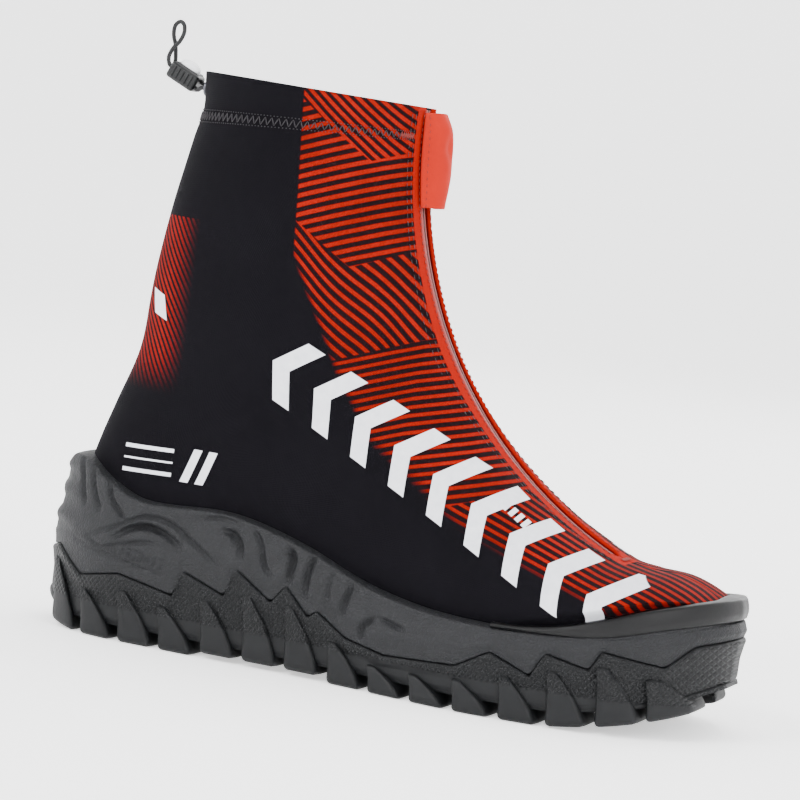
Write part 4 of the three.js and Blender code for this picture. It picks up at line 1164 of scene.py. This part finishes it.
def line_distance(x, z, points):
    """How far a point of the side lies from a line, and how far along the line it is."""
    best, at = 99.0, 0.0
    for i, ((ax, az), (bx, bz)) in enumerate(zip(points, points[1:])):
        dx, dz = bx - ax, bz - az
        t = clamp(((x - ax) * dx + (z - az) * dz) / (dx * dx + dz * dz))
        away = math.hypot(x - ax - dx * t, z - az - dz * t)
        if away < best:
            best, at = away, (i + t) / (len(points) - 1)
    return best, at


SMOOTH_GROOVES = [
    ([(p.x, p.z) for p in catmull([Vector((x, 0, z)) for x, z in points], 4)], width, depth)
    for points, width, depth in GROOVES
]


def groove_depth(x, z):
    """How deep the midsole's moulded lines lie at a point of its side."""
    deepest = 0.0
    if x > 32 or z > 76:
        return 0.0
    for points, width, depth in SMOOTH_GROOVES:
        if not points[0][0] - 30 < x < points[-1][0] + 30:
            continue
        away, at = line_distance(x, z, points)
        if away < width * 3:
            ends = math.sin(math.pi * clamp(at, 0.04, 0.96)) ** 0.5
            relief = options().groove_relief * depth * ends
            deepest = max(deepest, relief * math.exp(-((away / width) ** 2)))
    for rx, rz in RIBS:
        if abs(x - rx - (z - rz) * 0.3) < 0.75 and abs(z - rz) < 2.2:
            deepest = max(deepest, 0.7)
    return deepest


def cup_profile(index):
    """The midsole's line at a point of the outline, from its seat to the cover: (inset, z)."""
    point, out = outline()[index]
    seat = wave(point.x) + 0.35
    inset, contact = 0.8, None
    while inset < 22 and contact is None:
        there = point - out * inset
        top = cup_top(there.x)
        if within(Vector((there.x, there.y, top))):
            contact = inset
        inset += 0.25
    contact = contact or 9.0
    edge = cup_top((point - out * 0.8).x)
    line = [Vector((3.9, 0, seat - 1.5)), Vector((3.9, 0, seat)), Vector((1.1, 0, seat + 0.05))]
    if edge > seat + 4:
        line.append(Vector((0.2, 0, mix(seat, edge, 0.35))))
        line.append(Vector((min(0.8 + contact * 0.15, 2.6), 0, mix(seat, edge, 0.8))))
    for i in range(1, 9):
        depth = mix(1.2, contact + 1.0, i / 8)
        lean = 1.6 * (1 - i / 8) ** 2 if edge > seat + 4 else 0.0
        line.append(Vector((depth, 0, cup_top((point - out * depth).x) - lean)))
    return [line[0], line[1]] + relaxed(resampled(line[2:], MIDSOLE_ROWS - 1), 3)


MIDSOLE_ROWS = 62


def make_midsole():
    """The sculpted midsole cup."""
    pairs = outline()
    count = len(pairs)
    profiles = [cup_profile(i) for i in range(count)]
    for _ in range(2):
        profiles = [
            [(a + b * 2 + c) / 4
             for a, b, c in zip(profiles[i - 1], profiles[i], profiles[(i + 1) % count])]
            for i in range(count)
        ]

    def place(u, v):
        i = round(u * count) % count
        spot = profiles[i][round(v * MIDSOLE_ROWS)]
        point, out = pairs[i]
        depth = groove_depth(point.x, spot.z) if spot.x < 5 else 0.0
        heel = ease(-point.x, 128, 146) * ease(spot.z, 36, 42) * (1 - ease(spot.z, 66, 72))
        rib = heel * 0.9 * math.sin(spot.z / 1.75)
        base = point - out * (spot.x + depth - max(rib, -0.4))
        return Vector((base.x, base.y, spot.z))

    cup = sheet("midsole_cup", count, MIDSOLE_ROWS, place, around=True, facing=Vector((0, 0, 45)))
    finished(cup, midsole_foam(), "boot", "midsole", slot="midsole_foam")


LUG_PLACES = [-132, -113, -94, -75, 2, 21, 40, 59, 78, 97, 116, 134]
WAIST_PLACES = [-56, -37, -18]  # ridges that stay clear of the ground


def side_lug(bm, x, side):
    """A lug that reaches from the tread up the wall, as a leaning claw."""
    heel = x < 0
    lean = -9.0 if heel else -8.0
    tip = x + lean
    top = max(wave(tip) - spring(tip) - 5.5, 11.0)
    clear = 2.0 if x in WAIST_PLACES else 0.0

    def bend(p):
        # p.x runs along the boot, p.y from the edge inwards, p.z up
        up = p.z + 0.5
        inward = (p.y + 0.5) * 21
        outer = 1 - ease(inward, 1.5, 7)
        height = mix(7.4, top, outer)
        length = mix(options().lug_length / MM, 14.0 if outer < 0.5 else 3.6, up ** 1.5)
        place_x = x + p.x * length + lean * mix(0.25, 1.0, outer) * up ** 1.6
        place_x = clamp(place_x, -HALF + 1.5, HALF - 1.5)
        edge = side_y(place_x, side)
        middle = (side_y(place_x, -1) + side_y(place_x, 1)) / 2
        room = abs(edge - middle) - 1
        inset = min(inward - 0.9 * (1 - up * 0.6), room)
        return Vector((place_x, edge - side * inset, spring(place_x) + mix(clear, height, up)))

    block(bm, 1, 1, 1, 0.13, TO_METRES, bend=bend, segments=3, cuts=3)


def middle_lug(bm, x, half, lean):
    """A low lug between the two side rows."""
    def bend(p):
        place_x = x + p.x * 8.8 + lean * p.y
        middle = (side_y(place_x, -1) + side_y(place_x, 1)) / 2
        return Vector((place_x, middle + p.y * 2 * half, spring(place_x) + (p.z + 0.5) * 7.4))

    block(bm, 1, 1, 1, 0.12, TO_METRES, bend=bend, segments=3, cuts=1)


def make_outsole():
    """The rubber outsole: the wall with its zigzag edge, the sole plate and the lugs."""
    pairs = outline()
    count = len(pairs)

    def place(u, v):
        point, out = pairs[round(u * count) % count]
        x = point.x
        top = wave(x)
        foot = spring(x) + 6.0
        line = [
            (6.0, foot), (3.6, foot), (2.2, foot + 1.4), (1.6, foot + 3.0),
            (1.5, mix(foot, top, 0.55)), (0.5, top - 3.0), (0.1, top - 1.5), (0.3, top - 0.5),
            (0.9, top), (3.0, top), (3.5, top - 1.2), (3.6, top - 3.0),
        ]
        at = v * (len(line) - 1)
        k = min(int(at), len(line) - 2)
        inset = mix(line[k][0], line[k + 1][0], at - k)
        z = mix(line[k][1], line[k + 1][1], at - k)
        toe = ease(x, 128, 142) * ease(z, 18, 22) * (1 - ease(z, 33, 37))
        heel = ease(-x, 130, 144) * ease(z, 12, 15) * (1 - ease(z, 25, 28))
        rib = (toe * 0.7 + heel * 0.4) * (1 - abs(((z / 3.1) % 1) * 2 - 1) ** 3)
        base = point - out * (inset + (0.7 * toe + 0.4 * heel - rib if inset < 0.5 else 0))
        return Vector((base.x, base.y, z))

    wall = sheet("outsole_wall", count, 54, place, around=True, facing=Vector((0, 0, 20)))
    finished(wall, outsole_rubber(), "boot", "outsole", slot="outsole_rubber")

    def plate(u, v):
        x = -(HALF - 2) * math.cos(math.pi * u)
        inset = 2.5
        y = mix(side_y(x, -1) + inset, side_y(x, 1) - inset, v)
        return Vector((x, y, spring(x) + 6.05))

    flat = sheet("outsole_plate", 160, 24, plate, facing=Vector((0, 0, 60)))
    thicken(flat, 2)
    finished(flat, outsole_rubber(), "boot", slot="outsole_rubber")
    bm = bmesh.new()
    for x in LUG_PLACES + WAIST_PLACES:
        for side in (-1, 1):
            side_lug(bm, x, side)
    for x in LUG_PLACES[4:11]:
        middle_lug(bm, x + 9.5, 9, -6)
    for x in LUG_PLACES[1:3]:
        middle_lug(bm, x + 9.5, 7, 5)
    middle_lug(bm, 0, 10, -5)
    bmesh.ops.recalc_face_normals(bm, faces=bm.faces)
    finished(object_from(bm, "outsole_lugs"), outsole_rubber(), "boot", slot="outsole_rubber")


def make_rand():
    """The smooth rubber rand round the toe."""
    pairs = [pair for pair in outline() if pair[0].x > 62]
    start = next(i for i, pair in enumerate(pairs) if pair[0].y < 0)
    pairs = pairs[start:] + pairs[:start]
    gaps = []
    for point, out in pairs:
        z, inset = cup_top(point.x) + 4, 0.6
        while inset < 9 and not within(Vector((*(point - out * inset).xy, z))):
            inset += 0.2
        gaps.append(max(inset, 5.2))
    count = len(pairs) - 1

    def place(u, v):
        i = round(u * count)
        point, out = pairs[i]
        gap = gaps[i]
        tall = rand_height(point.x)
        line = [
            (gap + 2, -1.2), (2.4, -1.0), (1.0, -0.2), (0.5, tall * 0.3), (0.8, tall * 0.6),
            (1.5, tall * 0.88), (2.3, tall), (gap + 1.2, tall - 0.1),
            (gap + 2, tall * 0.5), (gap + 2, -1.2),
        ]
        at = v * (len(line) - 1)
        k = min(int(at), len(line) - 2)
        inset = mix(line[k][0], line[k + 1][0], at - k)
        base = point - out * inset
        return Vector((base.x, base.y, cup_top(point.x) + mix(line[k][1], line[k + 1][1], at - k)))

    band = closed_band("toe_rand_band", count, 36, place)
    soft = band.modifiers.new("soft", "SMOOTH")
    soft.factor, soft.iterations = 0.5, 4
    finished(band, rand_rubber(), "boot", "toe_rand", slot="rand_rubber")


# ---- the inner boot ----

LINER_TOP = angle_at_height(217)


def angle_at_x(turn, x):
    """The angle at which the liner's outer face reaches an x."""
    low, high = 30.0, 80.0
    for _ in range(24):
        angle = (low + high) / 2
        if layer_point(round(angle, 4), turn, LINER_DEPTH, FRONT_SPACE).x < x:
            low = angle
        else:
            high = angle
    return high


def swollen(obj, voxel, cap, pressure=4.0):
    """The piece puffed up by a short cloth simulation, with its movement capped."""
    remesh = obj.modifiers.new("remesh", "REMESH")
    remesh.mode, remesh.voxel_size = "VOXEL", voxel * MM
    apply_modifiers(obj)
    before = [v.co.copy() for v in obj.data.vertices]
    pressed = obj.modifiers.new("cloth", "CLOTH")
    pressed.settings.use_pressure = True
    pressed.settings.uniform_pressure_force = pressure
    pressed.settings.effector_weights.gravity = 0
    pressed.settings.quality = 4
    pressed.point_cache.frame_start, pressed.point_cache.frame_end = 1, 12
    for step in range(1, 13):
        bpy.context.scene.frame_set(step)
    apply_modifiers(obj)
    for vert, start in zip(obj.data.vertices, before):
        moved = vert.co - start
        if moved.length > cap * MM:
            vert.co = start + moved.normalized() * cap * MM
    bpy.context.scene.frame_set(1)
    return obj


def apply_modifiers(obj):
    """Makes a piece's modifiers part of its mesh."""
    graph = bpy.context.evaluated_depsgraph_get()
    mesh = bpy.data.meshes.new_from_object(obj.evaluated_get(graph))
    obj.modifiers.clear()
    obj.data = mesh


def pad(name, first, last, outer, inner, angles, columns, rows):
    """A padded band between two layers, with rolled edges, from one turn to another."""

    def place(u, v):
        across, through = loop_section(1, 1, v, 0.62)
        angle = mix(angles[0], angles[1], across + 0.5)
        depth = mix(inner, outer, through + 0.5)
        return layer_point(angle, mix(first, last, u), depth, FRONT_SPACE)

    return closed_band(name, columns, rows, place)


def make_inner_boot():
    """The padded collar and tongue, and the felt quarters and vamp."""
    edges = (LINER_TOP + 0.3, LINER_TOP + 8.0)
    collar = pad("collar_pad", 36, 324, INSIDE + 0.6, INSIDE + 4.6, edges, 130, 28)
    swollen(collar, 1.6, 0.9)
    finished(collar, mesh_lining(), "boot", "inner_collar", slot="liner_felt")

    def tongue_place(u, v):
        across, through = loop_section(1, 1, v, 0.62)
        angle = mix(LINER_TOP - 2.3, 57.5, u)
        depth = INSIDE + 0.5 + 2.7 * (0.5 - through)
        return face_point(angle, across * 44, depth, FRONT_SPACE)

    tongue = closed_band("tongue_pad", 150, 40, tongue_place)
    swollen(tongue, 1.6, 0.3)
    finished(tongue, felt(), "boot", "tongue", slot="liner_felt")

    for name, side in (("lateral", -1), ("medial", 1)):

        def quarter(u, v, side=side):
            turn = mix(24, 179.8, u)
            angle = mix(LINER_TOP, angle_at_x(turn, LINER_CUT), v)
            first = turn_at(angle, 17.5, 3.6, FRONT_SPACE)
            return layer_point(angle, side * mix(first, 179.8, u), LINER_DEPTH, FRONT_SPACE)

        wall = sheet("liner_quarter_" + name, 70, 90, quarter, facing=Vector((-60, 0, 60)))
        thicken(wall, 2.9)
        finished(wall, felt(), "boot", "inner_quarter_" + name, slot="liner_felt")

    def vamp(u, v):
        turn = mix(-178, 178, u)
        start = max(angle_at_x(turn, LINER_CUT + 1.5), 57 if abs(turn) < 30 else 0)
        point = layer_point(mix(start, TIP_ANGLE - 1.5, v), turn, LINER_DEPTH, FRONT_SPACE)
        return tucked(point, 10.0, -1.2, rand_height(point.x) - 1)

    cap = sheet("liner_vamp", 110, 60, vamp, facing=Vector((90, 0, 45)))
    thicken(cap, 2.9)
    finished(cap, felt(), "boot", "inner_vamp", slot="liner_felt")


# ---- carried-over nodes ----


def make_hardware():
    """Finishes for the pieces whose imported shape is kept."""
    finishes = {
        zip_nylon: ["zip_chain_lateral", "zip_chain_medial"],
        zip_metal: ["zip_slider", "zip_top_stop_lateral", "zip_top_stop_medial", "zip_bottom_stop",
                    "cord_eyelet_lateral", "cord_eyelet_medial"],
        red_plastic: ["zip_pull", "lace_lock_button"],
        black_plastic: ["lace_lock_body"],
        spring_steel: ["shank", "cord_lock_spring"],
        fibre_board: ["lasting_board"],
        stiff_board: ["heel_counter"],
        footbed_foam: ["footbed"],
        red_webbing: ["lace_guide_%d" % i for i in range(1, 9)],
        black_webbing: ["lace_facing_lateral", "lace_facing_medial", "back_seam_tape"],
        black_cloth: ["storm_flap"],
        braid: ["lace", "drawcord_run_lateral", "drawcord_run_medial"],
    }
    for finish, names in finishes.items():
        for name in names:
            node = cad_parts[name]
            for slot in range(max(len(node.data.materials), 1)):
                if slot < len(node.data.materials):
                    node.material_slots[slot].link = "OBJECT"
                    node.material_slots[slot].material = finish()
                else:
                    node.data.materials.append(finish())


# ---- the stage ----


def area_light(name, place, target, size, energy):
    """A round soft light that faces a point."""
    data = bpy.data.lights.new(name, "AREA")
    data.shape, data.size, data.energy = "DISK", size, energy
    lamp = bpy.data.objects.new(name, data)
    lamp.location = place
    lamp.rotation_euler = (Vector(target) - Vector(place)).to_track_quat("-Z", "Y").to_euler()
    bpy.context.scene.collection.objects.link(lamp)


def make_stage():
    """The pale floor and backdrop, the soft lights and the camera."""
    bm = bmesh.new()
    profile = [(0.001, 0)] + [(r, 0) for r in (0.8, 1.6, 2.4)]
    bends = [k * math.pi / 24 for k in range(1, 13)]
    profile += [(2.4 + 1.2 * math.sin(a), 1.2 - 1.2 * math.cos(a)) for a in bends]
    profile += [(3.6, 2.6), (3.6, 4.2)]
    verts = [bm.verts.new((r, 0, z)) for r, z in profile]
    edges = [bm.edges.new(pair) for pair in zip(verts, verts[1:])]
    bmesh.ops.spin(
        bm, geom=verts + edges, cent=(0, 0, 0), axis=(0, 0, 1), angle=2 * math.pi, steps=72,
        use_merge=True,
    )
    bmesh.ops.remove_doubles(bm, verts=bm.verts, dist=1e-5)
    bmesh.ops.recalc_face_normals(bm, faces=bm.faces)
    bowl = object_from(bm, "stage_floor")
    for polygon in bowl.data.polygons:
        polygon.use_smooth = True
    pale = Finish("Pale stage", roughness=0.9)
    pale.feed(
        Base_Color=(0.97, 0.97, 0.972, 1), Specular_Ior_Level=0.1,
        Emission_Color=(1, 1, 1, 1), Emission_Strength=0.75,
    )
    bowl.data.materials.append(pale.material)

    world = bpy.data.worlds.new("Studio")
    world.use_nodes = True
    world.node_tree.nodes["Background"].inputs[0].default_value = (1, 1, 1, 1)
    world.node_tree.nodes["Background"].inputs[1].default_value = 0.7
    bpy.context.scene.world = world
    target = (0, 0, 0.1)
    area_light("key", (-0.9, -1.5, 1.5), target, 1.0, 36)
    area_light("front", (1.6, -1.0, 0.9), target, 0.8, 10)
    area_light("top", (0.1, 0.3, 2.0), target, 1.6, 34)
    area_light("back", (0.5, 1.8, 1.1), target, 1.2, 20)

    lens = bpy.data.cameras.new("camera")
    lens.lens, lens.sensor_width = 151.2, 36
    lens.clip_start, lens.clip_end = 0.05, 50
    camera = bpy.data.objects.new("camera", lens)
    look = Vector((-0.339, 0.940, -0.048)).normalized()
    up = Vector((-0.139, 0.0, 0.990))
    right = look.cross(up).normalized()
    up = right.cross(look)
    look = (look * 3360 + right * 27 - up * 101).normalized()
    right = look.cross(up).normalized()
    up = right.cross(look)
    turn = Matrix((right, up, -look)).transposed().to_4x4()
    camera.matrix_world = Matrix.Translation((0.451, -1.316, 0.222)) @ turn
    bpy.context.scene.collection.objects.link(camera)
    bpy.context.scene.camera = camera


# ---- the add-on ----


def colour_option(name, description, default):
    """A colour property; its default is written as six hexadecimal digits."""
    return bpy.props.FloatVectorProperty(
        name=name, description=description, subtype="COLOR", size=3, min=0, max=1,
        default=colour(default)[:3],
    )


class BootOptions(bpy.types.PropertyGroup):
    """Colours and sizes that a user may change before building."""

    red: colour_option("Red", "The brighter red of the print and the zip strip", "8e0f02")
    deep_red: colour_option("Deep red", "The darker red that the stripes shade into", "700c02")
    cover_black: colour_option("Cover black", "The lighter of the cover's two blacks", "0d0c10")
    marks: colour_option("Marks", "The lighter white of the printed chevrons and bars", "e6e7ec")
    midsole_grey: colour_option("Midsole grey", "The lighter grey of the midsole foam", "18191c")
    outsole_black: colour_option("Outsole black", "The lighter black of the outsole", "111214")
    cover_wall: bpy.props.FloatProperty(
        name="Cover thickness", description="How thick the printed fabric is",
        default=0.0014, min=0.0005, max=0.003, precision=4, unit="LENGTH",
    )
    tab_height: bpy.props.FloatProperty(
        name="Tab height", description="How far the zip garage stands out",
        default=0.0091, min=0.006, max=0.012, precision=4, unit="LENGTH",
    )
    lug_length: bpy.props.FloatProperty(
        name="Lug length", description="How long a side lug is at the ground",
        default=0.0158, min=0.008, max=0.018, precision=4, unit="LENGTH",
    )
    groove_relief: bpy.props.FloatProperty(
        name="Groove relief", description="How strongly the midsole's grooves are cut",
        default=1.9, min=0, max=2.5, subtype="FACTOR",
    )


class BOOT_OT_stage(bpy.types.Operator):
    """Make the pale floor and backdrop, the soft lights and the camera"""

    bl_idname = "boot.stage"
    bl_label = "Stage"
    bl_options = {"REGISTER", "UNDO"}

    def execute(self, context):
        make_stage()
        return {"FINISHED"}


class BOOT_OT_cord(bpy.types.Operator):
    """Make the elastic cord's free loop and its two short ends"""

    bl_idname = "boot.cord"
    bl_label = "Elastic cord"
    bl_options = {"REGISTER", "UNDO"}

    def execute(self, context):
        make_cord()
        return {"FINISHED"}


class BOOT_OT_cord_lock(bpy.types.Operator):
    """Make the cord lock's ribbed body and its oval button"""

    bl_idname = "boot.cord_lock"
    bl_label = "Cord lock"
    bl_options = {"REGISTER", "UNDO"}

    def execute(self, context):
        make_cord_lock()
        return {"FINISHED"}


class BOOT_OT_cover(bpy.types.Operator):
    """Make the printed cover's halves, the toe stiffener and the hem's facing"""

    bl_idname = "boot.cover"
    bl_label = "Cover"
    bl_options = {"REGISTER", "UNDO"}

    def execute(self, context):
        make_cover()
        return {"FINISHED"}


class BOOT_OT_stitching(bpy.types.Operator):
    """Make the collar's zigzag, the zip's seams and the bar tacks"""

    bl_idname = "boot.stitching"
    bl_label = "Stitching"
    bl_options = {"REGISTER", "UNDO"}

    def execute(self, context):
        make_stitching()
        return {"FINISHED"}


class BOOT_OT_zip(bpy.types.Operator):
    """Make the coated zip tapes"""

    bl_idname = "boot.zip"
    bl_label = "Zip"
    bl_options = {"REGISTER", "UNDO"}

    def execute(self, context):
        make_zip()
        return {"FINISHED"}


class BOOT_OT_garage(bpy.types.Operator):
    """Make the soft tab over the closed zip's slider"""

    bl_idname = "boot.garage"
    bl_label = "Zip garage"
    bl_options = {"REGISTER", "UNDO"}

    def execute(self, context):
        make_garage()
        return {"FINISHED"}


class BOOT_OT_midsole(bpy.types.Operator):
    """Make the sculpted midsole cup"""

    bl_idname = "boot.midsole"
    bl_label = "Midsole"
    bl_options = {"REGISTER", "UNDO"}

    def execute(self, context):
        make_midsole()
        return {"FINISHED"}


class BOOT_OT_outsole(bpy.types.Operator):
    """Make the outsole's wall, plate and lugs"""

    bl_idname = "boot.outsole"
    bl_label = "Outsole"
    bl_options = {"REGISTER", "UNDO"}

    def execute(self, context):
        make_outsole()
        return {"FINISHED"}


class BOOT_OT_rand(bpy.types.Operator):
    """Make the smooth rubber rand round the toe"""

    bl_idname = "boot.rand"
    bl_label = "Toe rand"
    bl_options = {"REGISTER", "UNDO"}

    def execute(self, context):
        make_rand()
        return {"FINISHED"}


class BOOT_OT_inner_boot(bpy.types.Operator):
    """Make the padded collar and tongue, the quarters and the vamp"""

    bl_idname = "boot.inner_boot"
    bl_label = "Inner boot"
    bl_options = {"REGISTER", "UNDO"}

    def execute(self, context):
        make_inner_boot()
        return {"FINISHED"}


class BOOT_OT_hardware(bpy.types.Operator):
    """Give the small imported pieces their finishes"""

    bl_idname = "boot.hardware"
    bl_label = "Hardware"
    bl_options = {"REGISTER", "UNDO"}

    def execute(self, context):
        make_hardware()
        return {"FINISHED"}


OPERATORS = [
    BOOT_OT_stage, BOOT_OT_cord, BOOT_OT_cord_lock, BOOT_OT_cover,
    BOOT_OT_stitching, BOOT_OT_zip, BOOT_OT_garage, BOOT_OT_midsole,
    BOOT_OT_outsole, BOOT_OT_rand, BOOT_OT_inner_boot, BOOT_OT_hardware,
]


class BOOT_PT_pieces(bpy.types.Panel):
    """The boot's options and one button for each piece"""

    bl_idname = "BOOT_PT_pieces"
    bl_label = "Cross country boot"
    bl_space_type = "VIEW_3D"
    bl_region_type = "UI"
    bl_category = "Boot"

    def draw(self, context):
        for name in BootOptions.__annotations__:
            self.layout.prop(context.scene.boot_options, name)
        for operator in OPERATORS:
            self.layout.operator(operator.bl_idname)


CLASSES = [BootOptions, *OPERATORS, BOOT_PT_pieces]


def register():
    for cls in CLASSES:
        bpy.utils.register_class(cls)
    bpy.types.Scene.boot_options = bpy.props.PointerProperty(type=BootOptions)


def unregister():
    del bpy.types.Scene.boot_options
    for cls in reversed(CLASSES):
        bpy.utils.unregister_class(cls)


def main():
    """Builds every piece."""
    register()
    for operator in OPERATORS:
        getattr(bpy.ops.boot, operator.bl_idname.split(".")[1])()


if __name__ == "__main__":
    main()
